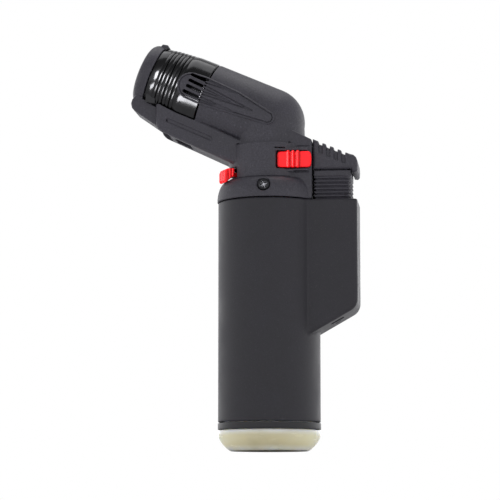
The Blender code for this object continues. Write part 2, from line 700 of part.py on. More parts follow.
def trigger():
    button = plate("trigger_button", [trigger_outline()], -TRIGGER_HALF, TRIGGER_HALF)
    wedge_top, wedge_low = 111.5, 101.5
    lean = 0.79 / TRIGGER_STROKE
    wedge = [(18.5, wedge_top), (11.8 - (wedge_top - 103) * lean, wedge_top)]
    wedge += [(11.8 - (wedge_low - 103) * lean, wedge_low), (15.0, wedge_low), (18.5, 104.2)]
    join(button, plate("valve_wedge", [wedge], -2.5, 2.5))
    room = block("button_room", (19.5, -8.4, 100), (30.6, 8.4, 107.0))
    lock_slot = block("lock_slot", (15, -9.3, 105.0), (19.6, -7.2, 118))
    button = part(cut(button, room, lock_slot), TEXTURED_BLACK)

    outline = [(17.4, -SLIDE_HALF), (28.5, -SLIDE_HALF), (30.5, -8.8), (SLIDE_REAR, -6.8)]
    outline += [(x, -y) for x, y in reversed(outline)]
    top = TRIGGER_LOW - GAP
    slide = plate("trigger_slide", [outline], SLIDE_LOW, top, Matrix())
    around = [(10, -15), (40, -15), (40, 15), (10, 15)]
    waist = [(10.5, -SLIDE_HALF + 0.45), (28.3, -SLIDE_HALF + 0.45), (30.1, -8.5), (SLIDE_REAR - 0.45, -6.7)]
    waist += [(x, -y) for x, y in reversed(waist)]
    groove = plate("slide_groove", [around, waist], 93.0, 93.6, Matrix())
    stack = groove.modifiers.new("repeat", "ARRAY")
    stack.count = SLIDE_GROOVES
    stack.use_relative_offset = False
    stack.use_constant_offset = True
    stack.constant_offset_displace = (0, 0, GROOVE_PITCH * MM)
    join(slide, block("slide_boss", (20.2, -8.0, top - 1), (30.2, 8.0, 106.7)))
    channel = block("wire_channel", (16, -1.6, 80), (19.7, 1.6, 103.8))
    seat = rod("plunger_seat", 2.5, 80, 90, at=(PIEZO_X, 0), segments=16)
    slide = part(cut(slide, groove, channel, seat), TEXTURED_BLACK)

    plunger = part(rod("piezo_plunger", 2.2, 68, 89.6, at=(PIEZO_X, 0), segments=20), PALE_PLASTIC)
    on_joint("trigger_joint", (PIEZO_X, 0, TRIGGER_LOW), button, slide, plunger)
    coil = helix(3.3, 72.3, 83.3, 6, at=(PIEZO_X, 0), per_turn=9)
    part(tube("trigger_spring", coil, 0.4, 0), STEEL)


def piezo_body():
    x0, z0 = FIN_SLOPE_FROM
    floor = [(x, z0 + (x - x0) * math.tan(FIN_SLOPE) + 2.5) for x in (20.0, 29.0)]
    outline = [(20.0, PIEZO_TOP), *floor, (29.0, PIEZO_TOP)]
    body = plate("piezo_body", [outline], -4.5, 4.5)
    return part(cut(body, rod("plunger_bore", 2.5, 60.5, 75, at=(PIEZO_X, 0), segments=20)), PALE_PLASTIC)


def valve_lever():
    px, pz = LEVER_PIVOT
    arm = [(px - 2.6, pz), (px - 2.2, pz + 1.4), (px, pz + 2.6), (px + 2.3, pz + 1.2), (px + 2.6, pz)]
    arm += [(px + 3.3, 103.6), (px + 3.4, 102.6), (px + 2.4, 102.0), (px + 1.5, 102.6), (px, 104.9)]
    arm += [(4.2, 103.9), (-0.6, 103.9), (-0.6, 105.2), (4.4, 105.4)]
    lever = plate("valve_lever", [arm], -5.5, 5.5)
    throat = block("fork_throat", (-5, -1.9, 102), (3.6, 1.9, 107))
    cheeks = [block("cheek", (-5, side * 5.5 - 2, 100), (4.4, side * 5.5 + 2, 108)) for side in (-1, 1)]
    frame = Matrix.Translation((px * MM, 0, pz * MM)) @ ALONG_Y
    narrow = [block("tail_side", (7, side * 5.0 - 2, 100), (13, side * 5.0 + 2, 105.6)) for side in (-1, 1)]
    lever = part(cut(lever, throat, rod("lever_bore", 1.5, -6, 6, frame, 16), *cheeks, *narrow), STEEL)
    on_joint("valve_lever_joint", (px, 0, pz), lever)
    part(rod("lever_pin", 1.25, -8.5, 8.5, frame, 16), STEEL)


def flame_lever():
    """The red thumb tab outside the collar, on an arm and a ring round the outlet valve."""
    ring = [(6.2, 103.2), (6.2, 101.3), (3.25, 101.3), (3.25, 103.2)]
    frame = Matrix.Rotation(FLAME_REST, 4, "Z")
    lever = settled(turned("flame_lever", ring, frame, 20, ring=True))
    arm = block("flame_arm", (-16.6, -2.4, 101.4), (-4.6, 2.4, 103.1), frame)
    tab = [(-15.9, 104.6), (-18.3, 104.6), (-FLAME_R, 104.1), (-FLAME_R, 99.6), (-18.3, 99.1), (-15.9, 100.7)]
    thumb = plate("flame_tab", [tab], -3.4, 3.4, frame @ SIDE)
    lever = part(join(lever, arm, thumb), RED_PLASTIC)
    on_joint("flame_lever_joint", (0, 0, 102), lever)


def lock_slider():
    (x0, x1), (z0, z1), (y0, y1) = KNOB_X, KNOB_Z, KNOB_Y
    round_r = 1.1
    knob = [*arc((x1 - round_r, z1 - round_r), round_r, 90, 0, 3), (x1 + 0.3, (z0 + z1) / 2)]
    knob += [*arc((x1 - round_r, z0 + round_r), round_r, 0, -90, 3)]
    knob += [*arc((x0 + round_r, z0 + round_r), round_r, -90, -180, 3)]
    knob += [*arc((x0 + round_r, z1 - round_r), round_r, 180, 90, 3)]
    slider = plate("lock_slider", [knob], y0, y1)
    shank = block("slider_shank", (11.2, y1 - 0.5, 105.7), (12.6, -7.5, 108.1))
    tongue = block("slider_tongue", (11.2, -9.0, 105.4), (16.2, -7.5, 108.4))
    slider = part(join(slider, shank, tongue), RED_PLASTIC)
    on_joint("lock_slider_joint", ((x0 + x1) / 2, y0, (z0 + z1) / 2), slider)
    leaf = [(5, 111.8), (10.8, 111.8), (12.8, 109.0), (14.8, 110.8)]
    leaf += [(x, z + 0.35) for x, z in reversed(leaf)]
    part(plate("lock_detent_spring", [leaf], -8.9, -7.6), STEEL)


clear_scene()
TORCH = new_collection("butane_torch")
CUTTERS = new_collection("cutters")

SOFT_BLACK = material("soft_black", (0.045, 0.044, 0.048), 0.7)
TEXTURED_BLACK = material("textured_black", (0.06, 0.06, 0.065), 0.6)
BLACK_PLASTIC = material("black_plastic", (0.03, 0.03, 0.032), 0.45)
BLACK_NICKEL = material("black_nickel", (0.09, 0.09, 0.1), 0.15, 1.0)
BLACK_STEEL = material("black_steel", (0.03, 0.03, 0.03), 0.25, 1.0)
STEEL = material("steel", (0.6, 0.6, 0.6), 0.3, 1.0)
BRASS = material("brass", (0.75, 0.55, 0.25), 0.3, 1.0)
RED_PLASTIC = material("red_plastic", (0.9, 0.02, 0.03), 0.35)
RED_RUBBER = material("red_rubber", (0.5, 0.03, 0.03), 0.6)
RUBBER = material("rubber", (0.03, 0.03, 0.03), 0.7)
CERAMIC = material("ceramic", (0.8, 0.78, 0.72), 0.5)
PALE_PLASTIC = material("pale_plastic", (0.75, 0.75, 0.7), 0.45)
WICK_FIBRE = material("wick_fibre", (0.8, 0.78, 0.7), 0.95)
OLIVE = material("olive_tank", (0.55, 0.5, 0.35), 0.25, alpha=0.6)

fuel_tank()
tank_lid()
fill_valve()
outlet_valve()
tank_sleeve()
base_ring()
housing()
housing_screws()
nozzle_sleeve()
burner()
gas_hose()
ignition_wire()
flip_cap()
trigger()
piezo_body()
valve_lever()
flame_lever()
lock_slider()
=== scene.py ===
"""The looks of the jet torch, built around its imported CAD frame.

Moulded pieces are made from signed distances in millimetres: each piece is a function that is negative inside
the plastic, and surface() turns it into a fine mesh with the fillets and rounded edges that a mould gives.
Turned metal pieces come from lathe(), and coils and hoses from wound wires.
"""

import json
import math

import bmesh
import bpy
import numpy as np
from mathutils import Matrix, Vector


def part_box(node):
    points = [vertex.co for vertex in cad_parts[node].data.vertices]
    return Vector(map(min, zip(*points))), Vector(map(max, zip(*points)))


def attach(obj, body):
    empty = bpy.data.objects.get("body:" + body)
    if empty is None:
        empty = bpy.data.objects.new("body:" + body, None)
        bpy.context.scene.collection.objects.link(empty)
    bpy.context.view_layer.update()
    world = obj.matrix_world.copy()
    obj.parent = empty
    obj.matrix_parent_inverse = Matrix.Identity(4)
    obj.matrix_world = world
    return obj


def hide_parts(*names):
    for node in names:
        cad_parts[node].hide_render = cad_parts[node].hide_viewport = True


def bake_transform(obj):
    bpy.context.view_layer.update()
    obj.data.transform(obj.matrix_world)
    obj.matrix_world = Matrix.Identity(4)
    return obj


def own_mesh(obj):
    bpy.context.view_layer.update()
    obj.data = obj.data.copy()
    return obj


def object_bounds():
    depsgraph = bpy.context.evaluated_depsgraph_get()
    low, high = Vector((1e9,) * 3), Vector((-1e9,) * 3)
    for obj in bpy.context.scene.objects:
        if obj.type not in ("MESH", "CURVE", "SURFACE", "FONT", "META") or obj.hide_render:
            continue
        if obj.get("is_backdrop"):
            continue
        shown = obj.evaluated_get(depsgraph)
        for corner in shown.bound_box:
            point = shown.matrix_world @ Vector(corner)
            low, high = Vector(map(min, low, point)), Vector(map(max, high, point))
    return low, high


MM = 0.001

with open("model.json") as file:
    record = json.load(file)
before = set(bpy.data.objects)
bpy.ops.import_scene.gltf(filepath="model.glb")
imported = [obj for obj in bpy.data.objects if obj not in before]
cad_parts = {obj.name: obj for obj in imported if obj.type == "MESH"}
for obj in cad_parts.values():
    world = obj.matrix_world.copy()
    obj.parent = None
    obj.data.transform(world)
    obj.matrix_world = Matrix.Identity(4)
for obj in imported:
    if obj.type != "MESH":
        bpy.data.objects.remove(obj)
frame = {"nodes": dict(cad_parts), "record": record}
cad_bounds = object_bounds()


def span(node):
    """A CAD node's lowest and highest corners in millimetres."""
    low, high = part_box(node)
    return np.array(low) / MM, np.array(high) / MM


# ---- sizes, in millimetres

AXIS_R = 0.01  # the smallest radius of a turned solid

BASE_TOP = 7.6
BASE_R = 18.9
TANK_R = 17.2
TANK_WALL = 1.6
TANK_FLOOR = 3.0
FILL_X = 7.0
FILL_HOLE_R = 3.4

(_, _, SLEEVE_LOW), (FIN_REAR, SLEEVE_R, SLEEVE_TOP) = span("tank_sleeve")
SLEEVE_BORE = 17.7
FIN_HALF = 11.4
FIN_WALL = 1.6
FIN_ROUND = 5.0
FIN_SLOPE = math.radians(29.8)
FIN_SLOPE_FROM = (16.3, 42.5)  # x, z where the fin's slope leaves the sleeve
DRAIN_X = 25.5
DRAINS = (((-2.2, 2.2), (-5.4, -1.4)), ((-1.0, 1.0), (1.2, 3.2)))  # reach in x about DRAIN_X, and in y

HOUSING_LOW = span("housing_near")[0][2]
DOME_R = 19.4
DOME_TOP_R = 15.6
DOME_HIGH = 7.8
COLLAR_R = 15.0
COLLAR_TOP = 113.4
WALL = 1.7
BLOCK_HALF = 11.2
BLOCK_REAR = 16.8
BLOCK_TOP = ((9.9, 118.2), (16.8, 114.6))  # x, z of the rear block's two upper corners
NECK_R = 13.8
ELBOW_R = 13.3
SEAM = 0.09  # half the parting line between the two housing halves

ELBOW = (0.2, 122.8)  # x, z where the head's axis meets the neck's
HEAD_TILT = math.radians(22.8)
BARREL_END = 25.4
BARREL_END_R = 13.5
BARREL_BORE = 11.2
TUBE_FRONT = 46.9
TUBE_GAP = 0.3
# s and outer radius of the metal tube
TUBE_TAPER = ((25.4, 13.6), (33.0, 13.55), (38.0, 13.2), (42.0, 12.8), (45.0, 12.3), (TUBE_FRONT, 12.0))
BEADS = 6
BEAD_PITCH = 1.45
BEADS_FROM = 35.2

# Vent slots, as s, t of their front and rear ends, and the engraved spears behind them
VENTS = (
    ((31.9, 4.6), (26.7, 4.3)),
    ((31.8, 2.25), (26.8, 1.9)),
    ((31.8, 0.0), (26.8, -0.35)),
    ((32.3, -2.3), (26.8, -2.6)),
)
VENT_HALF = 0.6
PANEL_R = 14.2
PANEL_HIGH = 0.65  # how far the panel's rear end stands out
SPEARS = (
    ((26.0, 4.6), (13.3, 4.1), (26.0, 3.5)),
    ((26.0, 2.45), (5.9, 0.2), (26.0, -1.05)),
    ((26.0, 1.35), (14.8, 0.3), (26.0, 0.05)),
    ((26.0, -2.1), (12.8, -2.7), (26.0, -3.3)),
)

FORK_HALF = 9.3
FORK_SLOT = 7.6
FORK_FRONT = -41.9
FORK_NOSE_R = 5.0
LEDGE_SLOPE = 0.4847
LEDGE_FROM = (-12.0, 115.95)
KEEL_SLOPE = 0.471
KEEL_FROM = (-16.5, 108.05)
HINGE_S = 36.0
HINGE_T = -15.0
HINGE_BORE = 1.3

CAP_R = 12.1
CAP_BACK = 47.2
CAP_FRONT = 52.0
CAP_WALL = 1.6
TAB_HALF = 7.3

TRIGGER_HALF = 10.4
TRIGGER_FRONT = 17.1
TRIGGER_TOP = 115.0
TRIGGER_LOW = 103.6
TRIGGER_SLOPE = math.radians(23.2)
GRIP_FROM = 20.0
GRIP_PITCH = 2.82
GRIP_GROOVES = 4
GRIP_WIDE = 1.32
GRIP_DEEP = 4.4  # how far the grooves run down the sides
STEM_GROOVES = 6
STEM_GROOVE_FROM = 92.9
STEM_GROOVE_PITCH = 1.4

SIDES = {"near": -1, "far": 1}  # along Y
SCREW_AT = (-0.4, 97.0)  # x, z
SCREW_OUT = 18.4
LEVER_PIVOT = (8.0, 108.5)  # x, z
FLAME_REST = math.radians(28.0)
FLAME_SLOT = math.radians(42.0)

LEAN = HEAD_TILT - math.pi / 2
HEAD = Matrix.Translation((ELBOW[0] * MM, 0, ELBOW[1] * MM)) @ Matrix.Rotation(LEAN, 4, "Y")


# ---- signed distances


def union(a, b, fillet=0.0):
    """Both shapes, with a round fillet where they meet."""
    if not fillet:
        return np.minimum(a, b)
    inner = np.hypot(np.maximum(fillet - a, 0), np.maximum(fillet - b, 0))
    return np.maximum(fillet, np.minimum(a, b)) - inner


def common(a, b, edge=0.0):
    """What two shapes share, with a rounded edge where their surfaces cross."""
    if not edge:
        return np.maximum(a, b)
    outer = np.hypot(np.maximum(edge + a, 0), np.maximum(edge + b, 0))
    return np.minimum(-edge, np.maximum(a, b)) + outer


def without(a, b, edge=0.0):
    return common(a, -b, edge)


def between(value, low, high):
    return np.abs(value - (low + high) / 2) - (high - low) / 2


def outlined(u, v, corners):
    """Signed distance to a closed flat outline."""
    nearest = np.full(u.shape, np.inf, u.dtype)
    inside = np.zeros(u.shape, bool)
    for (au, av), (bu, bv) in zip(corners, [*corners[1:], corners[0]]):
        eu, ev = bu - au, bv - av
        if math.hypot(eu, ev) < 1e-6:
            continue
        wu, wv = u - au, v - av
        along = np.clip((wu * eu + wv * ev) / (eu * eu + ev * ev), 0, 1)
        nearest = np.minimum(nearest, (wu - eu * along) ** 2 + (wv - ev * along) ** 2)
        if av != bv:
            inside ^= ((av > v) != (bv > v)) & (u < eu * (v - av) / ev + au)
    return np.where(inside, -1, 1) * np.sqrt(nearest)


def block(x, y, z, low, high, edge=0.0):
    flat = common(between(x, low[0], high[0]), between(y, low[1], high[1]), edge)
    return common(flat, between(z, low[2], high[2]), edge)


def rod(across, along, radius, low, high, edge=0.0):
    return common(across - radius, between(along, low, high), edge)


def from_nearest(value, first, pitch, count):
    """Distance from the nearest of a row of evenly spaced places."""
    number = np.clip(np.round((value - first) / pitch), 0, count - 1)
    return np.abs(value - (first + pitch * number))


def stroke(u, v, start, end):
    """Distance from a straight line between two points."""
    eu, ev = end[0] - start[0], end[1] - start[1]
    wu, wv = u - start[0], v - start[1]
    along = np.clip((wu * eu + wv * ev) / (eu * eu + ev * ev), 0, 1)
    return np.hypot(wu - eu * along, wv - ev * along)


def arc(centre, radius, start, end, count):
    """Points on an arc between two angles in degrees."""
    angles = [math.radians(start + (end - start) * i / count) for i in range(count + 1)]
    return [(centre[0] + radius * math.cos(a), centre[1] + radius * math.sin(a)) for a in angles]


def smooth_route(places, per_span=8):
    """Points on a Catmull-Rom curve through the places."""
    knots = [Vector(p) for p in places]
    knots = [2 * knots[0] - knots[1]] + knots + [2 * knots[-1] - knots[-2]]
    route = []
    for a, b, c, d in zip(knots, knots[1:], knots[2:], knots[3:]):
        for i in range(per_span):
            t = i / per_span
            bend = (c - a) * t + (2 * a - 5 * b + 4 * c - d) * t**2 + (3 * b - a - 3 * c + d) * t**3
            route.append(b + 0.5 * bend)
    return route + [knots[-2]]


def softened(corners, radius):
    """The outline with each corner turned into an arc, as far as its sides allow."""
    made = []
    for i, corner in enumerate(corners):
        here, back, ahead = Vector(corner), Vector(corners[i - 1]), Vector(corners[(i + 1) % len(corners)])
        to_back, to_ahead = (back - here).normalized(), (ahead - here).normalized()
        half = to_back.angle(to_ahead) / 2
        reach = min(radius / math.tan(half), 0.45 * (back - here).length, 0.45 * (ahead - here).length)
        first, last = here + to_back * reach, here + to_ahead * reach
        for t in (0, 0.25, 0.5, 0.75, 1):
            made.append(tuple(first * (1 - t) ** 2 + here * 2 * t * (1 - t) + last * t**2))
    return made


def head_axes(x, z):
    """Distance s along the head's axis and t above it."""
    dx, dz = x - ELBOW[0], z - ELBOW[1]
    s = dz * math.sin(HEAD_TILT) - dx * math.cos(HEAD_TILT)
    t = dz * math.cos(HEAD_TILT) + dx * math.sin(HEAD_TILT)
    return s, t


def tube_radius(s):
    """Outer radius of the nozzle's metal tube, which narrows towards the flame."""
    return np.interp(s, *zip(*TUBE_TAPER))


def head_place(s, t, y=0.0):
    """World x, y, z of a point in the head's axes."""
    x = ELBOW[0] - s * math.cos(HEAD_TILT) + t * math.sin(HEAD_TILT)
    z = ELBOW[1] + s * math.sin(HEAD_TILT) + t * math.cos(HEAD_TILT)
    return x, y, z


# ---- from distances to meshes

BLOCK_CELLS = 8


def sampled(field, low, step, shape):
    """The field on a grid, worked out only in the blocks that its surface can pass through."""
    blocks = [n // BLOCK_CELLS for n in shape]
    width = BLOCK_CELLS * step
    centres = np.stack(np.meshgrid(*[np.arange(n) for n in blocks], indexing="ij"), -1).reshape(-1, 3)
    middle = low + (centres + 0.5) * width - step / 2
    rough = field(*middle.T).reshape(blocks)
    near = np.abs(rough) < 0.65 * np.linalg.norm(width)
    spread = np.ones((BLOCK_CELLS,) * 3, bool)
    values = np.kron(np.sign(rough), spread).astype(np.float32)
    places = np.argwhere(np.kron(near, spread))
    points = low + places * step
    values[tuple(places.T)] = field(*points.astype(np.float32).T)
    return values


def surface(field, low, high, step):
    """Points and quads of the closed surface where the field is zero: surface nets, pulled onto the field."""
    low, step = np.array(low, float), np.array(step, float) * np.ones(3)
    low = low - 2.5 * step
    counts = np.ceil((np.array(high) + 2.5 * step - low) / step).astype(int)
    shape = tuple(int(math.ceil(n / BLOCK_CELLS) * BLOCK_CELLS) for n in counts)
    values = sampled(field, low, step, shape)
    inside = values < 0
    corners = [(i, j, k) for i in (0, 1) for j in (0, 1) for k in (0, 1)]
    sides = [slice(None, -1), slice(1, None)]
    filled = sum(inside[sides[i], sides[j], sides[k]].astype(np.int8) for i, j, k in corners)
    cells = np.argwhere((filled > 0) & (filled < 8))
    number = np.full(filled.shape, -1, np.int32)
    number[tuple(cells.T)] = np.arange(len(cells))
    total, hits = np.zeros((len(cells), 3)), np.zeros(len(cells))
    for corner in corners:
        for axis in range(3):
            if corner[axis]:
                continue
            other = [*corner]
            other[axis] = 1
            a = values[tuple((cells + corner).T)]
            b = values[tuple((cells + other).T)]
            crossed = (a < 0) != (b < 0)
            share = np.where(crossed, a / np.where(crossed, a - b, 1), 0)
            place = np.tile(np.array(corner, float), (len(cells), 1))
            place[:, axis] = share
            total += place * crossed[:, None]
            hits += crossed
    points = low + (cells + total / hits[:, None]) * step
    quads = []
    for axis in range(3):
        e, g = (axis + 1) % 3, (axis + 2) % 3
        first, last = [slice(None)] * 3, [slice(None)] * 3
        first[axis], last[axis] = sides
        edges = np.argwhere(inside[tuple(first)] != inside[tuple(last)])
        ring = []
        for de, dg in ((0, 0), (1, 0), (1, 1), (0, 1)):
            cell = edges.copy()
            cell[:, e] -= de
            cell[:, g] -= dg
            ring.append(number[tuple(cell.T)])
        quad = np.stack(ring, 1)
        outward = inside[tuple(edges.T)]
        quads.append(np.where(outward[:, None], quad, quad[:, ::-1]))
    return settled(field, points, step), np.concatenate(quads)


def slopes(field, points, reach):
    rows = []
    for axis in range(3):
        shift = np.zeros(3)
        shift[axis] = reach
        rows.append((field(*(points + shift).T) - field(*(points - shift).T)) / (2 * reach))
    return np.stack(rows, 1)


def settled(field, points, step):
    """The points moved onto the surface, each by less than a cell."""
    most = 0.5 * step.min()
    for _ in range(3):
        slope = slopes(field, points, 0.04 * step.min())
        size = np.maximum((slope**2).sum(1), 0.25)
        move = field(*points.T) / size
        points = points - np.clip(move, -most, most)[:, None] * slope
    return points


def put(name, data):
    """A new object in the scene."""
    made = bpy.data.objects.new(name, data)
    bpy.context.scene.collection.objects.link(made)
    return made


def evaluated_mesh(piece):
    bpy.context.view_layer.update()
    return bpy.data.meshes.new_from_object(piece.evaluated_get(bpy.context.evaluated_depsgraph_get()))


def object_of(name, points, faces):
    """A smooth closed mesh from points in millimetres and quads, which all face out or all face in."""
    mesh = bpy.data.meshes.new(name)
    first, second, third, fourth = (points[faces[:, i]] for i in range(4))
    if np.einsum("ij,ij->", first, np.cross(second, third) + np.cross(third, fourth)) < 0:
        faces = faces[:, ::-1]
    mesh.vertices.add(len(points))
    mesh.vertices.foreach_set("co", (np.asarray(points) * MM).astype(np.float32).ravel())
    mesh.loops.add(faces.size)
    mesh.loops.foreach_set("vertex_index", faces.astype(np.int32).ravel())
    mesh.polygons.add(len(faces))
    mesh.polygons.foreach_set("loop_start", np.arange(0, faces.size, 4, dtype=np.int32))
    mesh.update(calc_edges=True)
    mesh.validate()
    mesh.shade_smooth()
    return put(name, mesh)


def finished(piece, slot, replaced):
    """Give a piece the finish of a material slot, and hide the CAD nodes it stands for."""
    piece.data.materials.clear()
    piece.data.materials.append(FINISHES[slot])
    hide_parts(*replaced)
    return piece


def fitted(piece, slot, replaced, body="torch_body"):
    """Give a piece its finish and its place in the frame."""
    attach(piece, body)
    return finished(piece, slot, replaced)


def moulded(name, field, low, high, step, slot="textured_black", replaced=(), body="torch_body"):
    """A piece whose surface comes from a distance field inside a box."""
    scale = 1.0
    points, quads = surface(field, low, high, np.array(step) * scale)
    fitted(object_of(name, points, quads), slot, replaced, body)


def recast(name, field, node, margin, step, slot="textured_black", body="torch_body"):
    """A moulded piece in the place of one CAD node, which it stands for."""
    low, high = span(node)
    moulded(name, field, low - margin, high + margin, step, slot, [node], body)


def lathe(name, profile, place, steps):
    """A closed loop of (radius, height) turned about the place's Z."""
    turns = np.arange(steps) * 2 * math.pi / steps
    loop = np.array(profile, float)
    ring = np.stack([loop[:, 0, None] * np.cos(turns), loop[:, 0, None] * np.sin(turns)], -1)
    height = np.repeat(loop[:, 1, None, None], steps, 1)
    points = np.concatenate([ring, height], -1).reshape(-1, 3)
    rows, columns = np.meshgrid(np.arange(len(loop)), np.arange(steps), indexing="ij")
    after, beside = (rows + 1) % len(loop), (columns + 1) % steps
    faces = [rows * steps + columns, after * steps + columns, after * steps + beside, rows * steps + beside]
    made = object_of(name, points, np.stack([f.ravel() for f in faces], 1))
    made.data.transform(place)
    made.data.set_sharp_from_angle(angle=math.radians(40))
    return made


def cut_by(piece, cutters):
    """Booleans of small cutters, applied, so that none is left in the scene."""
    for cutter in cutters:
        step = piece.modifiers.new("cut", "BOOLEAN")
        step.operation = "DIFFERENCE"
        step.object = cutter
    mesh = evaluated_mesh(piece)
    piece.modifiers.clear()
    piece.data = mesh
    for cutter in cutters:
        bpy.data.objects.remove(cutter)
    return piece


def box_object(low, high, place):
    bm = bmesh.new()
    bmesh.ops.create_cube(bm, size=1.0)
    low, high = Vector(low) * MM, Vector(high) * MM
    bmesh.ops.scale(bm, vec=high - low, verts=bm.verts)
    bmesh.ops.translate(bm, vec=(low + high) / 2, verts=bm.verts)
    mesh = bpy.data.meshes.new("cutter")
    bm.to_mesh(mesh)
    bm.free()
    made = put("cutter", mesh)
    made.matrix_world = place
    return made


def wound(name, points, radius):
    """A wire along points in millimetres, as a closed tube."""
    curve = bpy.data.curves.new(name, "CURVE")
    curve.dimensions = "3D"
    curve.bevel_depth = radius * MM
    curve.bevel_resolution = 3
    curve.use_fill_caps = True
    spline = curve.splines.new("POLY")
    spline.points.add(len(points) - 1)
    for point, place in zip(spline.points, points):
        point.co = (*(Vector(place) * MM), 1)
    guide = put(name + "_guide", curve)
    mesh = evaluated_mesh(guide)
    bpy.data.objects.remove(guide)
    bm = bmesh.new()
    bm.from_mesh(mesh)
    bmesh.ops.remove_doubles(bm, verts=bm.verts, dist=0.000001)
    bm.to_mesh(mesh)
    bm.free()
    mesh.name = name
    mesh.shade_smooth()
    return put(name, mesh)


# ---- finishes


FINISHES = {}  # the finish of each material slot


def add_node(tree, kind, inputs=(), **settings):
    """A shader node; each input is a value, or the output of another node."""
    made = tree.nodes.new("ShaderNode" + kind)
    for setting, value in settings.items():
        setattr(made, setting, value)
    for socket, value in dict(inputs).items():
        if isinstance(value, bpy.types.NodeSocket):
            tree.links.new(value, made.inputs[socket])
        else:
            made.inputs[socket].default_value = value
    return made


class Finish:
    """A procedural material whose textures lie on the piece's own coordinates."""

    def __init__(self, name, **sockets):
        self.material = bpy.data.materials.new(name)
        self.material.use_nodes = True
        self.tree = self.material.node_tree
        self.shader = self.tree.nodes["Principled BSDF"]
        FINISHES[name] = self.material
        for socket, value in sockets.items():
            self.shader.inputs[socket.replace("_", " ")].default_value = value
        self.place = self.node("TexCoord").outputs["Object"]

    def node(self, kind, inputs=(), **settings):
        return add_node(self.tree, kind, inputs, **settings)

    def noise(self, size, detail=2.0, place=None):
        """Noise whose features are about this many millimetres wide."""
        inputs = {"Vector": place or self.place, "Scale": 1 / (size * MM), "Detail": detail}
        return self.node("TexNoise", inputs).outputs["Fac"]

    def stretched(self, turn, scale):
        """The piece's coordinates turned and then scaled, for grain that runs one way."""
        inputs = {"Vector": self.place, "Rotation": turn, "Scale": scale}
        return self.node("Mapping", inputs, vector_type="TEXTURE").outputs["Vector"]

    def ranged(self, value, low, high, to_low=0.0, to_high=1.0):
        made = self.node("MapRange", {0: value, 1: low, 2: high, 3: to_low, 4: to_high})
        return made.outputs["Result"]

    def math(self, operation, a, b):
        return self.node("Math", {0: a, 1: b}, operation=operation).outputs["Value"]

    def mixed(self, factor, a, b):
        colors = [c if isinstance(c, bpy.types.NodeSocket) else (*c, 1.0) for c in (a, b)]
        made = self.node("Mix", {0: factor, 6: colors[0], 7: colors[1]}, data_type="RGBA")
        return made.outputs[2]

    def edges(self, low, high):
        """Where the surface is sharply convex, as on a worn edge."""
        return self.ranged(self.node("NewGeometry").outputs["Pointiness"], low, high)

    def use(self, socket, value):
        self.tree.links.new(value, self.shader.inputs[socket])

    def bump(self, height, depth):
        """Relief of this many millimetres from a height between 0 and 1."""
        made = self.node("Bump", {"Height": height, "Distance": depth * MM})
        self.use("Normal", made.outputs["Normal"])


def scaled(color, factor):
    return tuple(min(1.0, c * factor) for c in color)


def plastic(name, color, roughness, grain, relief, worn=1.5, flecks=0.0, **sockets):
    """Moulded plastic: spark-eroded grain, an uneven sheen, edges rubbed lighter and a few pale flecks."""
    made = Finish(name, Roughness=roughness, **sockets)
    fine, cloud = made.noise(grain, 3.0), made.noise(11.0, 3.0)
    body = made.mixed(made.ranged(cloud, 0.35, 0.65), scaled(color, 0.86), scaled(color, 1.16))
    body = made.mixed(made.ranged(fine, 0.3, 0.7), made.mixed(0.7, body, scaled(color, 0.5)), body)
    rub = made.math("MULTIPLY", made.edges(0.53, 0.62), made.ranged(made.noise(1.7, 4.0), 0.42, 0.62))
    body = made.mixed(rub, body, scaled(color, worn))
    if flecks:
        body = made.mixed(made.ranged(made.noise(0.35, 0.0), 0.74, 0.8, 0, flecks), body, (0.3, 0.3, 0.3))
    made.use("Base Color", body)
    sheen = made.ranged(cloud, 0.3, 0.7, roughness - 0.05, roughness + 0.06)
    made.use("Roughness", made.math("SUBTRACT", sheen, made.math("MULTIPLY", rub, 0.15)))
    made.bump(fine, relief)


def metal(name, color, roughness, turn=(0, 0, 0), lines=0.25, relief=0.004):
    """Turned or drawn metal, with fine lines across the turning axis and a cloudy tarnish."""
    made = Finish(name, Metallic=1.0, Roughness=roughness)
    grain = made.noise(1.0, 2.0, made.stretched(turn, (30.0, 30.0, lines)))
    cloud = made.noise(5.0, 4.0)
    made.use("Base Color", made.mixed(made.ranged(cloud, 0.35, 0.7), color, scaled(color, 0.72)))
    dull = made.ranged(cloud, 0.3, 0.7, roughness, roughness * 1.5)
    made.use("Roughness", made.math("ADD", dull, made.ranged(grain, 0.4, 0.7, 0, roughness * 0.6)))
    made.bump(grain, relief)


def fired_clay():
    made = Finish("ceramic", Roughness=0.7)
    pores, cloud = made.noise(0.3, 4.0), made.noise(3.0, 3.0)
    made.use("Base Color", made.mixed(made.ranged(cloud, 0.4, 0.6), (0.72, 0.69, 0.62), (0.55, 0.5, 0.43)))
    made.use("Roughness", made.ranged(pores, 0.3, 0.7, 0.6, 0.85))
    made.bump(pores, 0.05)


def fibre():
    made = Finish("wick_fibre", Roughness=0.95)
    strands = made.noise(1.0, 3.0, made.stretched((0, 0, 0), (0.2, 0.2, 4.0)))
    made.use("Base Color", made.mixed(strands, (0.5, 0.46, 0.36), (0.85, 0.82, 0.74)))
    made.bump(strands, 0.1)


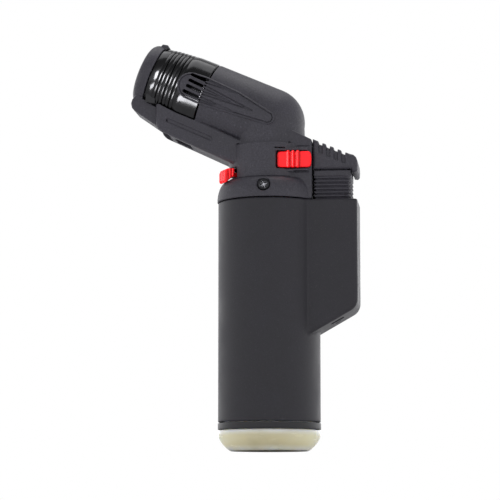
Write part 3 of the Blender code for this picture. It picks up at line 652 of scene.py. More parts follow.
def tank_plastic():
    """Smoky olive, half clear plastic: light scatters in it and its polished skin has faint swirls."""
    made = Finish(
        "olive_tank",
        Roughness=0.2,
        Subsurface_Weight=0.8,
        Subsurface_Radius=(1.0, 0.9, 0.7),
        Subsurface_Scale=0.004,
        Coat_Weight=0.35,
        Coat_Roughness=0.08,
    )
    cloud = made.noise(7.0, 3.0)
    swirl = made.noise(2.0, 3.0, made.stretched((0, 0, 0), (3.0, 3.0, 0.6)))
    axes = made.node("SeparateXYZ", {0: made.place}).outputs
    # Painted light: the colour grows lighter towards the tank's sides along X, a painted rim light on the
    # sides the camera sees.
    edge = made.ranged(made.math("ABSOLUTE", axes["X"], 0.0), 4 * MM, 18 * MM)
    body = made.mixed(edge, (0.69, 0.635, 0.42), (1.0, 0.92, 0.64))
    body = made.mixed(made.ranged(cloud, 0.3, 0.7, 0, 0.4), body, (0.88, 0.80, 0.55))
    # Painted light: pale bands, broken up by the cloud, at the top rim and at the foot. They are a painted
    # highlight on the shoulder and painted light against the floor's contact shade.
    top_rim, foot_rim = (made.ranged(axes["Z"], a * MM, b * MM) for a, b in ((5.6, 7.2), (2.2, 0.8)))
    rim_light_bands = made.math("ADD", top_rim, foot_rim)
    painted_rim_light = made.math("MULTIPLY", rim_light_bands, made.ranged(cloud, 0.2, 0.6, 0.4, 0.9))
    body = made.mixed(painted_rim_light, body, (1.0, 0.98, 0.90))
    made.use("Base Color", made.mixed(made.ranged(swirl, 0.45, 0.8, 0, 0.12), body, (0.95, 0.9, 0.74)))
    made.use("Roughness", made.ranged(swirl, 0.3, 0.7, 0.16, 0.3))
    made.bump(swirl, 0.002)


SOFT_BLACK = (0.0285, 0.0270, 0.0345)
MOULDED_BLACK = (0.056, 0.053, 0.068)
plastic("soft_black", SOFT_BLACK, 0.5, 0.22, 0.012, flecks=0.05, Specular_IOR_Level=0.4)
plastic("textured_black", MOULDED_BLACK, 0.52, 0.55, 0.085, flecks=0.15, Specular_IOR_Level=0.45)
plastic("black_plastic", (0.013, 0.013, 0.016), 0.42, 0.3, 0.01)
metal("black_nickel", (0.042, 0.042, 0.044), 0.12, (0, LEAN, 0), 0.12, 0.0)
metal("black_steel", (0.022, 0.022, 0.024), 0.16)
metal("steel", (0.56, 0.56, 0.57), 0.24)
metal("brass", (0.72, 0.5, 0.2), 0.24)
plastic("red_plastic", (1.0, 0.003, 0.008), 0.36, 0.3, 0.012, worn=1.1, Specular_IOR_Level=0.3)
plastic("red_rubber", (0.45, 0.02, 0.02), 0.55, 0.2, 0.01, worn=1.2)
plastic("black_rubber", (0.018, 0.018, 0.018), 0.7, 0.25, 0.02)
plastic("pale_plastic", (0.66, 0.64, 0.56), 0.42, 0.3, 0.01, worn=1.1)
fired_clay()
fibre()
tank_plastic()


# ---- tank, sleeve and ring


def fuel_tank():
    foot = [(BASE_R, 7.3), (18.9, 6.2), (18.7, 5.0), (18.2, 3.8), (17.4, 2.65), (16.35, 1.5), (15.3, 0.58)]
    foot.append((14.7, 0.14))
    corner = [tuple(p)[:2] for p in smooth_route([(r, z, 0) for r, z in foot], 4)] + [(14.2, 0)]
    inner = TANK_R - TANK_WALL
    top = span("fuel_tank")[1][2]
    profile = [(AXIS_R, TANK_FLOOR), (inner - 2.5, TANK_FLOOR), (inner - 0.7, TANK_FLOOR + 0.7), (inner, 5.5)]
    profile += [(inner, top), (TANK_R, top), (TANK_R, BASE_TOP), (BASE_R - 0.2, BASE_TOP)]
    profile += [*corner, (AXIS_R, 0)]
    made = lathe("tank_body", profile, Matrix(), 200)
    bore = [(AXIS_R, -1), (FILL_HOLE_R, -1), (FILL_HOLE_R, TANK_FLOOR + 2), (AXIS_R, TANK_FLOOR + 2)]
    hole = lathe("cutter", bore, Matrix.Translation((FILL_X * MM, 0, 0)), 48)
    fitted(cut_by(made, [hole]), "olive_tank", ["fuel_tank"])


def fin_outline(inset, top):
    """Side outline of the fin, or of its pocket when inset by the wall."""
    rear = FIN_REAR - inset
    lift = inset / math.cos(FIN_SLOPE)
    x0, z0 = FIN_SLOPE_FROM
    front = 12.0
    low_front = z0 + lift + (front - x0) * math.tan(FIN_SLOPE)
    low_corner = z0 + lift + (rear - x0) * math.tan(FIN_SLOPE)
    radius = FIN_ROUND - inset
    reach = radius * math.tan((math.pi / 2 - FIN_SLOPE) / 2)
    turn = math.degrees(FIN_SLOPE) - 90
    corner = arc((rear - radius, low_corner + reach), radius, turn, 0, 8)
    return [(front, top), (front, low_front), *corner, (rear, top)]


def sleeve_field(x, y, z):
    """The can with its hollow rear fin, which holds the igniter, and the drain slots in the fin's slope."""
    r = np.hypot(x, y)
    can = rod(r, z, SLEEVE_R, SLEEVE_LOW, SLEEVE_TOP, 0.25)
    fin = common(outlined(x, z, fin_outline(0, SLEEVE_TOP + 5)), np.abs(y) - FIN_HALF, 1.1)
    body = union(can, common(fin, z - SLEEVE_TOP, 0.35), 0.5)
    pocket = common(outlined(x, z, fin_outline(FIN_WALL, SLEEVE_TOP + 4)), np.abs(y) - FIN_HALF + FIN_WALL)
    body = without(without(body, pocket, 0.15), r - SLEEVE_BORE, 0.15)
    middle = FIN_SLOPE_FROM[1] + (DRAIN_X - FIN_SLOPE_FROM[0]) * math.tan(FIN_SLOPE)
    for (x0, x1), (y0, y1) in DRAINS:
        low, high = (DRAIN_X + x0, y0, middle - 5), (DRAIN_X + x1, y1, middle + 6)
        body = without(body, block(x, y, z, low, high, 0.4), 0.2)
    return body


def base_ring():
    low, high = span("base_ring")
    corners = [(high[0], high[2]), (high[0], low[2]), (SLEEVE_BORE, low[2]), (SLEEVE_BORE, high[2])]
    ring = lathe("trim_ring", softened(corners, 0.35), Matrix(), 200)
    fitted(ring, "black_plastic", ["base_ring"])


# ---- housing


def dome_profile(inset):
    """Half section of the housing's shoulder and collar."""
    top = DOME_TOP_R - inset
    high = DOME_HIGH - 0.8 * inset
    low = HOUSING_LOW - (1 if inset else 0)
    bend = [
        (top + (DOME_R - DOME_TOP_R) * math.cos(a), HOUSING_LOW + high * math.sin(a))
        for a in (math.radians(90 * i / 20) for i in range(21))
    ]
    collar = COLLAR_R - inset
    peak = COLLAR_TOP - (1.4 if inset else 0)
    return [(-4, low), (DOME_R - inset, low), *bend, (collar, bend[-1][1]), (collar, peak), (-4, peak)]


def keel_outline():
    """Side outline of the fork, with its ledge left high so that it can be cut with a sharper edge."""
    x0, z0 = LEDGE_FROM
    x1, z1 = KEEL_FROM
    tilt = math.atan(KEEL_SLOPE)
    keel_front = z1 + (x1 - FORK_FRONT) * KEEL_SLOPE
    centre = (FORK_FRONT + FORK_NOSE_R, keel_front + FORK_NOSE_R * math.tan((math.pi / 2 - tilt) / 2))
    nose = arc(centre, FORK_NOSE_R, 180, 270 - math.degrees(tilt), 10)
    rear = -4.0
    above = 6.0
    ledge = [(x, z0 - (x - x0) * LEDGE_SLOPE + above) for x in (rear, FORK_FRONT)]
    return [*ledge, *nose, (rear, z1 - (rear - x1) * KEEL_SLOPE)]


def cone(across, along, radius, end_radius, low, high):
    slope = (end_radius - radius) / (high - low)
    side = (across - radius - slope * (along - low)) / math.hypot(1, slope)
    return common(side, between(along, low, high))


def housing_form(x, y, z):
    """The outside of both halves: neck, elbow, barrel, dome, rear block and fork."""
    s, t = head_axes(x, z)
    r, q, side = np.hypot(x, y), np.hypot(t, y), np.abs(y)
    ball = np.sqrt((x - ELBOW[0]) ** 2 + y**2 + (z - ELBOW[1]) ** 2)
    neck = cone(r, z, NECK_R, ELBOW_R, 108, ELBOW[1])
    barrel = common(cone(q, s, ELBOW_R, BARREL_END_R, 0, BARREL_END), s - BARREL_END, 0.4)
    pipe = union(union(neck, barrel), ball - ELBOW_R)
    dome = common(outlined(r, z, dome_profile(0)), z - COLLAR_TOP, 0.35)
    (x0, z0), (x1, z1) = BLOCK_TOP
    beyond = BLOCK_REAR + 5
    corners = [(0, HOUSING_LOW), (beyond, HOUSING_LOW), (beyond, z1), (x1, z1), (x0, z0), (0, z0)]
    rear_block = common(outlined(x, z, softened(corners, 0.5)), side - BLOCK_HALF, 0.7)
    fork = common(outlined(x, z, keel_outline()), side - FORK_HALF, 1.7)
    ledge = (z - LEDGE_FROM[1] + (x - LEDGE_FROM[0]) * LEDGE_SLOPE) / math.hypot(1, LEDGE_SLOPE)
    fork = common(fork, ledge, 0.35)
    form = union(union(union(pipe, dome), rear_block, 0.3), fork, 0.25)
    crease = np.hypot(r - NECK_R - 0.3, z - COLLAR_TOP + 0.05) - 0.42
    waist = np.hypot(r - COLLAR_R - 0.1, z - HOUSING_LOW - DOME_HIGH - 0.05) - 0.36
    form = without(form, np.maximum(union(crease, waist), x - 9.0), 0.1)
    form = common(form, x - BLOCK_REAR, 0.4)
    return without(form, common(q - tube_radius(s) - TUBE_GAP, BARREL_END - s), 0.25)


def housing_room(x, y, z):
    """The hollow inside, with the fork's slots."""
    s, t = head_axes(x, z)
    r, q, side = np.hypot(x, y), np.hypot(t, y), np.abs(y)
    ball = np.sqrt((x - ELBOW[0]) ** 2 + y**2 + (z - ELBOW[1]) ** 2) - ELBOW_R + 2
    room = union(outlined(r, z, dome_profile(WALL)), cone(r, z, NECK_R - 2, ELBOW_R - 2, 111, ELBOW[1]))
    room = union(union(room, ball), rod(q, s, BARREL_BORE, 0, BARREL_END + 5))
    (x0, z0), (_, z1) = BLOCK_TOP
    rear = BLOCK_REAR - WALL
    floor = HOUSING_LOW - 1
    corners = [(0, floor), (rear, floor), (rear, z1 - WALL), (x0, z0 - 2 * WALL - 0.5), (0, z0 - 2 * WALL)]
    room = union(room, common(outlined(x, z, corners), side - BLOCK_HALF + WALL))
    keel_slot = ((-30, 23.8), (-16, 30.4), 5.2)
    slots = [((-17.6, 8), (-12.4, 30.8), FORK_SLOT), ((-30, 32.3), (-8, 60), FORK_SLOT), keel_slot]
    for (t0, s0), (t1, s1), half in slots:
        room = union(room, block(t, y, s, (t0, -half, s0), (t1, half, s1), 0.3))
    return common(room, x - rear)


def housing_cuts(x, y, z):
    """Windows and bores through the wall, the same on both sides."""
    r, side = np.hypot(x, y), np.abs(y)
    s, t = head_axes(x, z)
    wedge = side * math.cos(FLAME_SLOT) + x * math.sin(FLAME_SLOT)
    cuts = common(common(wedge, between(z, 101.0, 104.9), 0.5), 11 - r)
    cuts = union(cuts, block(x, y, z, (13, -3, 91), (18, 3, 113)))
    screw = np.hypot(x - SCREW_AT[0], z - SCREW_AT[1])
    cuts = union(cuts, union(common(screw - 2.55, 17.2 - side), common(screw - 1.5, 12 - side)))
    cuts = union(cuts, common(np.hypot(t - HINGE_T, s - HINGE_S) - HINGE_BORE, side - 8.7))
    for front, rear in VENTS:
        cuts = union(cuts, common(stroke(s, t, front, rear) - VENT_HALF, 9.0 - side))
    return union(cuts, common(np.hypot(x - LEVER_PIVOT[0], z - LEVER_PIVOT[1]) - 1.5, between(side, 4, 8.8)))


def housing_half(side):
    """One moulded half; the near one, at side -1, also carries the safety slider."""
    knob_low, knob_high = span("lock_slider")

    def field(x, y, z):
        boss = rod(np.hypot(x - LEVER_PIVOT[0], z - LEVER_PIVOT[1]), np.abs(y), 2.6, 5.8, 10.4, 0.2)
        half = union(without(housing_form(x, y, z), housing_room(x, y, z), 0.15), boss, 0.3)
        if side < 0:
            half = union(half, block(x, y, z, (2.4, -12.9, 102.3), (15.5, -9.3, 111.3), 0.3))
            low = (knob_low[0] - 0.4, -20, knob_low[2] - 0.4)
            half = without(half, block(x, y, z, low, (22, -BLOCK_HALF, knob_high[2] + 0.4), 0.6), 0.3)
            half = without(half, block(x, y, z, (10.9, -14, 105.4), (15.9, -8, 108.4), 0.2), 0.15)
            half = without(half, block(x, y, z, (14, -9.3, 105.1), (18, -7.2, 108.7), 0.2), 0.15)
            half = without(half, slider_marks(x, y, z))
        half = without(half, housing_cuts(x, y, z), 0.2)
        half = without(half, grip_bar(x, y, z), 0.12)
        return common(half, SEAM - side * y, 0.12)

    return field


def slider_marks(x, y, z):
    """Plain recessed bars that show the slider's two places, and its track's lower edge."""
    rows = [(3.4, 7.0, 111.2, 0.2), (11.4, 15.6, 111.9, 0.34), (10.5, 15.6, 102.6, 0.2)]
    marks = np.full(x.shape, 9.0, x.dtype)
    for front, rear, height, width in rows:
        marks = np.minimum(marks, stroke(x, z, (front, height), (rear, height)) - width)
    return common(marks, BLOCK_HALF - 0.25 - np.abs(y))


def grip_bar(x, y, z):
    """A plain shallow bar along the fork's side."""
    bar = stroke(*head_axes(x, z), (17.0, -14.6), (34.5, -14.2)) - 0.7
    return common(bar, FORK_HALF - 0.45 - np.abs(y))


def housing():
    for where, side in SIDES.items():
        recast(where + "_housing", housing_half(side), "housing_" + where, 0.2, 0.27)


def panel_outline():
    front = arc((30.7, 0.45), 5.25, 80, -80, 12)
    rear = arc((-0.6, -0.1), 2.6, -100, -260, 8)
    return [*front, (26.6, -4.95), (13.2, -3.85), *rear, (13.2, 5.2), (26.6, 6.0)]


def vent_panel(where, side):
    """The raised panel along the head, with its four vent slots and the engraved spears behind them."""

    def field(x, y, z):
        s, t = head_axes(x, z)
        q = np.hypot(t, y)
        top = np.interp(s, (0, BARREL_END), (ELBOW_R + PANEL_HIGH, PANEL_R))
        under = np.where(s > BARREL_END, tube_radius(s) + 0.1, 12.4)
        edge = outlined(s, t, panel_outline())
        panel = common(edge, common(q - top, under - q), 0.45)
        for front, rear in VENTS:
            panel = without(panel, stroke(s, t, front, rear) - VENT_HALF, 0.15)
        for upper, tip, lower in SPEARS:
            line = np.minimum(stroke(s, t, upper, tip), stroke(s, t, lower, tip)) - 0.25
            panel = without(panel, common(line, top - 0.5 - q), 0.05)
        panel = without(panel, common(np.abs(edge + 0.85) - 0.2, top - 0.45 - q), 0.08)
        return common(panel, 3.0 - side * y)

    corners = np.array([head_place(s, t) for s in (-4.5, 36.5) for t in (-6.5, 6.8)])
    low, high = corners.min(0), corners.max(0)
    low[1], high[1] = sorted((side * 8.0, side * 14.8))
    moulded(where + "_vent_panel", field, low, high, 0.15)


def housing_screws():
    """Cross-head screws, each turned about its own axis, which lies along Y."""
    for (where, side), turn in zip(SIDES.items(), (0.35, 1.1)):

        def field(x, y, z):
            dx, dz, out = x - SCREW_AT[0], z - SCREW_AT[1], side * y
            r = np.hypot(dx, dz)
            crown = out - SCREW_OUT + 0.05 * r**2
            head = common(rod(r, out, 2.2, 17.5, SCREW_OUT + 0.1, 0.15), crown, 0.15)
            screw = union(head, rod(r, out, 1.2, 10.4, 17.8, 0.3))
            u, v = dx * math.cos(turn) + dz * math.sin(turn), dz * math.cos(turn) - dx * math.sin(turn)
            taper = 0.25 + 0.12 * (out - 17.6)
            along_u = np.maximum(np.abs(u) - 1.35, np.abs(v) - taper)
            along_v = np.maximum(np.abs(v) - 1.35, np.abs(u) - taper)
            blades = np.minimum(np.minimum(along_u, along_v), r - 0.55)
            return without(screw, common(blades, 17.55 - out), 0.05)

        recast(where + "_screw", field, "housing_screw_" + where, 0.1, 0.09, "black_steel")


# ---- burner


def nozzle_profile():
    """Half section of the metal tube, with three narrow grooves, each between two rolled beads."""
    outside = []
    for i in range(BEADS * 8 + 1):
        s = BEADS_FROM + i * BEAD_PITCH / 8
        valley = i % 16 == 8
        dip = 0.6 if valley else 0.24 * (2 * abs((i % 8) / 8 - 0.5)) ** 2 + 0.02
        outside.append((tube_radius(s) - dip, s))
    mouth = tube_radius(TUBE_FRONT)
    front = [(tube_radius(s) - 0.1, s) for s in (44.2, 45.4)] + [(mouth - 0.05, TUBE_FRONT - 0.3)]
    front += [(mouth - 0.15, TUBE_FRONT - 0.1), (mouth - 0.4, TUBE_FRONT)]
    front += [(10.5, TUBE_FRONT), (10.2, TUBE_FRONT - 0.3)]
    flange = tube_radius(BARREL_END)
    rear = [(10.2, 20), (10.85, 20), (10.85, 25.75), (flange - 0.2, 25.75), (flange, 25.95)]
    rear += [(tube_radius(s), s) for s in (30.0, 33.0, 34.9)]
    return [*outside, *front, *rear][::-1]


def nozzle():
    tube = lathe("nozzle_tube", nozzle_profile(), HEAD, 220)
    cutters = []
    wide = VENT_HALF + 0.35
    for (front, t0), (rear, t1) in VENTS:
        t = (t0 + t1) / 2
        for low, high in ((-16, -7), (7, 16)):
            cutters.append(box_object((t - wide, low, rear - 0.5), (t + wide, high, front + 0.8), HEAD))
    cut_by(tube, cutters)
    tube.data.shade_smooth()
    tube.data.set_sharp_from_angle(angle=math.radians(42))
    fitted(tube, "black_nickel", ["nozzle_sleeve"])


def tube_brackets():
    """Two flat lugs low on the tube's front, one on each side."""
    corners = [(46.3, -7.3), (42.9, -6.4), (41.6, -10.3), (45.3, -10.9)]
    for where, side in SIDES.items():

        def field(x, y, z):
            s, t = head_axes(x, z)
            return common(outlined(s, t, softened(corners, 0.3)), between(side * y, 5.0, 9.2), 0.25)

        places = np.array([head_place(s, t) for s, t in corners])
        low, high = places.min(0) - 0.5, places.max(0) + 0.5
        low[1], high[1] = sorted((side * 4.5, side * 9.7))
        moulded(where + "_tube_bracket", field, low, high, 0.2, "black_plastic")


def burner():
    wall = [(8.2, 38.2), (8.2, 12), (7.2, 12), (7.2, 38.2), (7.5, 38.5), (7.9, 38.5)]
    # Painted shade: the steel pipe takes the black steel finish so that it shows dark through the vent slots,
    # standing in for the shade inside the head.
    fitted(lathe("burner_pipe", wall, HEAD, 96), "black_steel", ["burner_tube"])
    seat = softened([(10.9, 18), (10.9, 13), (8.5, 13), (8.5, 18)], 0.3)
    fitted(lathe("burner_seat", seat, HEAD, 96), "ceramic", ["burner_collar"])

    def disc(x, y, z):
        s, t = head_axes(x, z)
        plate = rod(np.hypot(t, y), s, 6.9, 36.4, 38.0, 0.3)
        holes = np.hypot(t, y) - 0.9
        for i in range(6):
            a = math.pi / 3 * i
            holes = np.minimum(holes, np.hypot(t - 4.2 * math.cos(a), y - 4.2 * math.sin(a)) - 0.9)
        return without(plate, holes, 0.15)

    recast("flame_plate", disc, "flame_disc", 0.1, 0.17, "ceramic")


def cap_field(x, y, z):
    """The cap, with its thumb lip and a hinge knuckle that clears the tube as it turns."""
    s, t = head_axes(x, z)
    q, side = np.hypot(t, y), np.abs(y)
    crown = s - CAP_FRONT - 0.3 * (1 - (q / CAP_R) ** 2)
    disc = common(common(q - CAP_R, crown, 3.0), CAP_BACK - s, 0.15)
    tab = [(-9.0, CAP_FRONT - 2.2), (-11.6, 50.8), (-13.2, 50.6), (-14.6, 49.6), (-15.3, 48.2)]
    tab += [(-17.5, HINGE_S + 2.0), *arc((HINGE_T, HINGE_S), 2.5, 180, 360, 10)]
    tab += [(-12.5, HINGE_S + 2.5), (-9.5, HINGE_S + 5.0)]
    cap = union(disc, common(outlined(t, s, softened(tab, 0.5)), side - TAB_HALF, 0.9), 0.4)
    lip = [(10.9, 46.3), (12.6, 46.3), (12.9, 46.9), (12.5, 48.8), (10.9, 49.3)]
    cap = union(cap, common(outlined(t, s, softened(lip, 0.4)), side - 4.5, 0.6), 0.35)
    cap = without(cap, common(q - tube_radius(s) - TUBE_GAP, s - CAP_BACK - 0.02), 0.1)
    cap = without(cap, rod(q, s, CAP_R - CAP_WALL, CAP_BACK - 1, CAP_FRONT - CAP_WALL), 0.1)
    knuckle = np.hypot(t - HINGE_T, s - HINGE_S)
    reach = -HINGE_T - TUBE_GAP - np.sqrt(np.maximum(tube_radius(HINGE_S) ** 2 - y**2, 0))
    cap = without(cap, np.maximum(reach - knuckle, s - HINGE_S))
    cap = without(cap, knuckle - HINGE_BORE, 0.1)
    return without(cap, block(t, y, s, (-19, -2.6, HINGE_S - 4), (-11, 2.6, HINGE_S + 2.9), 0.2), 0.1)


# ---- trigger, slider and flame lever


def trigger_field(x, y, z):
    """The pad with its grip and heel, the wedge that tips the valve lever and the lock's slot."""
    fall = math.tan(TRIGGER_SLOPE)
    side = np.abs(y)
    heel = [(31.3, TRIGGER_LOW), (31.7, 102.4), (32.9, 102.2), (33.6, 102.9), (33.7, 104.5), (33.6, 106.6)]
    heel += [(33.1, 107.9), (32.1, 108.8), (30.6, TRIGGER_TOP - (30.6 - TRIGGER_FRONT) * fall)]
    corners = [(TRIGGER_FRONT, TRIGGER_LOW), *heel, (TRIGGER_FRONT, TRIGGER_TOP)]
    body = common(outlined(x, z, corners), side - TRIGGER_HALF, 1.2)
    above = z - TRIGGER_TOP + (x - TRIGGER_FRONT) * fall
    lane = from_nearest(x, GRIP_FROM, GRIP_PITCH, GRIP_GROOVES) - GRIP_WIDE / 2
    groove = common(lane, -GRIP_DEEP - above, 0.5)
    core = common(above + 0.95, side - TRIGGER_HALF + 0.75, 1.0)
    body = without(body, without(groove, core, 0.2), 0.4)
    wedge = [(18.5, 111.5), (10.85, 111.5), (11.97, 101.5), (15.0, 101.5), (18.5, 104.2)]
    body = union(body, common(outlined(x, z, wedge), side - 2.5, 0.2))
    body = without(body, block(x, y, z, (19.5, -8.4, 100), (30.6, 8.4, 107.0), 0.4), 0.2)
    return without(body, block(x, y, z, (15, -9.3, 105.0), (19.6, -7.2, 118), 0.2), 0.15)


def slide_field(x, y, z):
    """The ribbed stem below the pad, narrow where it meets the pad."""
    low, high = span("trigger_slide")
    half, rear = high[1], high[0]
    right = [(17.4, -half), (28.5, -half), (30.5, -8.8), (rear, -6.8)]
    corners = right + [(px, -py) for px, py in right[::-1]]
    flat = outlined(x, y, softened(corners, 0.6))
    groove = 2.4 * np.exp(-(((z - 102.4) / 1.35) ** 8))
    for i in range(STEM_GROOVES):
        middle = STEM_GROOVE_FROM + STEM_GROOVE_PITCH * i
        groove = np.maximum(groove, 0.75 * np.exp(-(((z - middle) / 0.33) ** 2)))
    slide = common(flat + groove, between(z, low[2], 103.3), 0.3)
    slide = union(slide, block(x, y, z, (20.2, -8.0, 102.3), (30.2, 8.0, 106.7), 0.4))
    slide = union(slide, block(x, y, z, (17.4, -8.9, 100.6), (31.2, 8.9, 103.3), 0.3))
    slide = without(slide, block(x, y, z, (16, -1.6, 80), (19.7, 1.6, 103.8), 0.2), 0.15)
    return without(slide, common(np.hypot(x - 24.5, y) - 2.5, z - 90), 0.2)


def slider_field(x, y, z):
    """The safety's ribbed knob, with the shank and tongue that lock the trigger."""
    low, high = span("lock_slider")
    right = high[0] - 0.3
    corners = [(low[0], low[2]), (right, low[2]), (right + 0.3, (low[2] + high[2]) / 2), (right, high[2])]
    corners.append((low[0], high[2]))
    out = -y
    knob = common(outlined(x, z, softened(corners, 1.3)), between(out, 11.5, 13.3), 0.35)
    for middle in (8.35, 10.1, 11.85):
        rib = common(between(x, middle - 0.52, middle + 0.52), between(z, low[2] - 0.2, high[2] + 0.3), 0.3)
        knob = union(knob, common(rib, between(out, 11.6, 14.1), 0.45), 0.12)
    shank = block(x, y, z, (11.2, -12.0, 105.7), (12.6, -7.5, 108.1), 0.15)
    return union(union(knob, shank), block(x, y, z, (11.2, -9.0, 105.4), (16.2, -7.5, 108.4), 0.2))


def flame_field(x, y, z):
    """The lever in its own turned axes: out points through its thumb tab."""
    out = -(x * math.cos(FLAME_REST) + y * math.sin(FLAME_REST))
    wide = y * math.cos(FLAME_REST) - x * math.sin(FLAME_REST)
    r = np.hypot(x, y)
    ring = common(rod(r, z, 6.2, 101.3, 103.2, 0.3), 3.25 - r, 0.3)
    arm = block(out, wide, z, (4.6, -1.2, 101.4), (16.6, 2.4, 103.1), 0.3)
    tab = [(15.0, 104.4), (17.4, 104.4), (18.6, 103.8), (19.1, 102.7), (19.1, 99.7)]
    tab += [(18.6, 99.0), (18.1, 99.1), (17.1, 100.1), (16.3, 100.8), (15.3, 101.4)]
    tab = common(outlined(out, z, softened(tab, 0.4)), np.abs(wide) - 2.9, 0.4)
    front_groove = common(from_nearest(wide, -1.1, 2.2, 2) - 0.3, 18.5 - out)
    side_groove = common(from_nearest(out, 16.2, 1.3, 2) - 0.2, 2.45 - np.abs(wide))
    tab = without(without(tab, front_groove, 0.25), side_groove, 0.2)
    return union(union(ring, arm, 0.3), tab, 0.3)


# ---- springs, hose and wire

COIL_STEPS = 28  # points on each turn


def coil(radius, low, high, turns, x=0):
    """A compression spring's line about an upright axis, with its end turns closed up."""
    count = turns * COIL_STEPS
    points = []
    for i in range(count + 1):
        share, angle = i / count, 2 * math.pi * i / COIL_STEPS
        rise = share - math.sin(2 * math.pi * share) * 0.08
        points.append((x + radius * math.cos(angle), radius * math.sin(angle), low + (high - low) * rise))
    return points


# Name, CAD node, radius, wire's radius, turns, axis x, low z, high z, joint, still z, length kept
COILS = (
    ("trigger_return_coil", "trigger_spring", 3.3, 0.4, 6, 24.5, 72.3, 83.3, "trigger_slide", 72.3, 0.36),
    ("outlet_valve_coil", "outlet_valve_spring", 1.8, 0.2, 5, 0, 89.8, 97.4, "outlet_stem_lift", 97.4, 0.84),
    ("fill_valve_coil", "fill_valve_spring", 1.45, 0.25, 4, FILL_X, 6.8, 10.8, "fill_stem_push", 10.8, 0.62),
)


def springs():
    for name, node, radius, wire, turns, x, low, high, joint, still, keep in COILS:
        made = wound(name, coil(radius, low, high, turns, x), wire)
        fitted(made, "steel", [node])
        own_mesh(made)
    x, _, z = head_place(HINGE_S, HINGE_T)
    around_pin = [(x + px, y, z + pz) for px, pz, y in coil(1.46, -2.0, 2.0, 4)]
    fitted(wound("cap_return_coil", around_pin, 0.18), "steel", ["cap_spring"])


def hose_and_wire():
    start = [(0, 0, 110.0), (0, 0, 112.5), (-0.1, 0, 116.5)]
    end = [head_place(s, t) for s, t in ((-2.6, -0.9), (1.2, 0), (3.7, 0))]
    hose = wound("gas_line", smooth_route(start + end), 1.5)
    finished(hose, "black_rubber", ["gas_hose"])
    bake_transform(hose)
    places = [(19.1, 0, 72.2), (18.6, 0, 78), (18.5, 0, 88), (17.6, 0.4, 92.4), (14, 2.2, 93.0)]
    places += [(9, 5.6, 94.0), (5.2, 7.6, 97.5), (3.2, 8.2, 104), (3.0, 7.6, 112), (3.0, 5.0, 119)]
    places += [head_place(2.0, 5.6, 2.0), head_place(5.0, 5.1, 0.2), head_place(6.5, 5.0)]
    fitted(wound("igniter_wire", smooth_route(places), 0.55), "red_rubber", ["ignition_wire"])


def carried_over():
    """CAD nodes that stay in view take the same procedural finishes, by the record's slots."""
    for row in frame["record"]["subparts"]:
        node = frame["nodes"][row["node"]]
        node.data.materials.clear()
        node.data.materials.append(FINISHES[row["material_slot"]])


# ---- stage, lights and camera


def stage_floor():
    """A pale round floor, solid from above and clear from below, where the low camera looks through it."""
    just_below = -0.02 * MM
    bpy.ops.mesh.primitive_circle_add(vertices=96, radius=2.5, fill_type="NGON", location=(0, 0, just_below))
    floor = bpy.context.object
    floor.name = "studio_floor"
    made = Finish("studio_floor", Roughness=0.9)
    grain = made.noise(40.0, 2.0)
    made.use("Base Color", made.mixed(grain, (0.86, 0.86, 0.86), (0.9, 0.9, 0.9)))
    clear = made.node("BsdfTransparent").outputs[0]
    back = made.node("NewGeometry").outputs["Backfacing"]
    seen = made.node("MixShader", {0: back, 1: made.shader.outputs[0], 2: clear})
    made.tree.links.new(seen.outputs[0], made.tree.nodes["Material Output"].inputs["Surface"])
    floor.data.materials.append(made.material)
    floor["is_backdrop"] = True


def softbox(name, place, target, size, power):
    data = bpy.data.lights.new(name, "AREA")
    data.shape = "RECTANGLE"
    data.size, data.size_y = size
    data.energy = power
    lamp = put(name, data)
    lamp.location = place
    lamp.rotation_euler = (Vector(target) - Vector(place)).to_track_quat("-Z", "Y").to_euler()
    lamp.visible_camera = False
    return lamp


def lit_only(lamp, *names):
    """Let the lamp light only the named pieces."""
    pieces = bpy.data.collections.new(lamp.name + "_pieces")
    for name in names:
        pieces.objects.link(bpy.data.objects[name])
    lamp.light_linking.receiver_collection = pieces


def studio():
    """A soft white room, with small cards that give the glossy and the red pieces their own highlights."""
    stage_floor()
    tube = Vector((-0.036, -0.012, 0.138))
    screw = Vector((SCREW_AT[0], -SCREW_OUT, SCREW_AT[1])) * MM
    in_front, from_below = Vector((-0.172, -0.975, 0.139)), Vector((-0.454, -0.727, -0.515))
    mirrored = Vector((-0.1, -0.985, 0.14))
    fill = softbox("left_fill", (-0.55, -0.5, 0.35), (0, 0, 0.105), (0.4, 0.4), 10.0)
    lit_only(fill, "safety_knob", "flame_thumb_lever")
    lit_only(softbox("front_softbox", tube + in_front * 1.2, tube, (0.5, 0.6), 30.0), "nozzle_tube")
    lit_only(softbox("low_card", tube + from_below * 0.24, tube, (0.13, 0.1), 0.9), "nozzle_tube")
    lit_only(softbox("screw_glint", screw + mirrored * 0.5, screw, (0.12, 0.09), 1.2), "near_screw")
    softbox("top_softbox", (0.0, 0.15, 0.9), (0, 0, 0.09), (0.8, 0.6), 3.0)
    room()
    bpy.context.scene.view_settings.view_transform = "Standard"


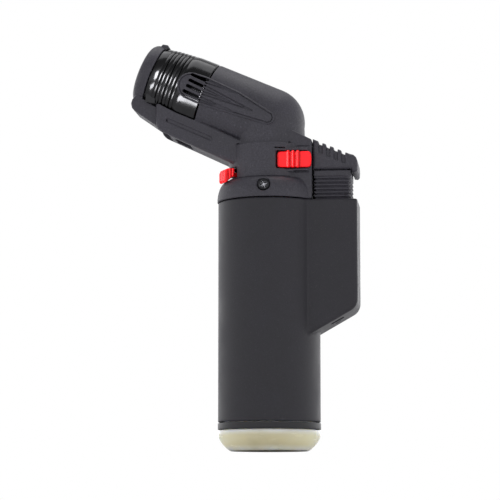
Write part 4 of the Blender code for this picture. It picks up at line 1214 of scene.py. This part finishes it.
def room():
    """Light from all round, stronger behind and weaker overhead; the camera itself sees plain white."""
    world = bpy.data.worlds.new("studio")
    world.use_nodes = True
    tree = world.node_tree
    way = add_node(tree, "TexCoord").outputs["Generated"]
    axes = add_node(tree, "SeparateXYZ", {0: way}).outputs
    behind = add_node(tree, "MapRange", {0: axes["Y"], 1: 0.15, 2: 0.8, 3: 1.25, 4: 1.9}).outputs[0]
    above = add_node(tree, "MapRange", {0: axes["Z"], 1: 0.15, 2: 0.65, 3: 1.0, 4: 0.25}).outputs[0]
    level = add_node(tree, "Math", {0: behind, 1: above}, operation="MULTIPLY").outputs[0]
    light = tree.nodes["Background"]
    light.inputs["Color"].default_value = (1.0, 1.0, 1.02, 1)
    tree.links.new(level, light.inputs["Strength"])
    backdrop = add_node(tree, "Background", {"Color": (1, 1, 1, 1)}).outputs[0]
    seen = add_node(tree, "LightPath").outputs["Is Camera Ray"]
    shown = add_node(tree, "MixShader", {0: seen, 1: light.outputs[0], 2: backdrop}).outputs[0]
    tree.links.new(shown, tree.nodes["World Output"].inputs["Surface"])
    bpy.context.scene.world = world


def camera():
    """A long lens, a little below the table top and turned towards the trigger side."""
    turned, below = math.radians(5.8), math.radians(7.0)
    distance, aim = 0.7641, Vector((-0.00714, -0.00073, 0.07485))
    level = math.cos(below)
    away = Vector((math.sin(turned) * level, -math.cos(turned) * level, -math.sin(below)))
    data = bpy.data.cameras.new("camera")
    data.lens = 147.24
    data.sensor_width = 36
    data.clip_start = 0.01
    made = put("camera", data)
    made.location = aim + away * distance
    made.rotation_euler = away.to_track_quat("Z", "Y").to_euler()
    bpy.context.scene.camera = made


camera()
carried_over()
fuel_tank()
recast("finned_sleeve", sleeve_field, "tank_sleeve", 0.2, (0.36, 0.36, 0.6), "soft_black")
base_ring()
housing()
for where, side in SIDES.items():
    vent_panel(where, side)
housing_screws()
nozzle()
tube_brackets()
burner()
recast("nozzle_cap", cap_field, "flip_cap", 0.4, 0.2, body="flip_cap")
recast("trigger_pad", trigger_field, "trigger_button", 0.2, 0.2, body="trigger")
recast("trigger_stem", slide_field, "trigger_slide", 0.2, 0.24, body="trigger")
recast("safety_knob", slider_field, "lock_slider", 0.3, 0.14, "red_plastic", "lock_slider")
recast("flame_thumb_lever", flame_field, "flame_lever", 0.3, 0.17, "red_plastic", "flame_lever")
springs()
hose_and_wire()
studio()

made_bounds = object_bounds()
[[list(corner) for corner in pair] for pair in (cad_bounds, made_bounds)]
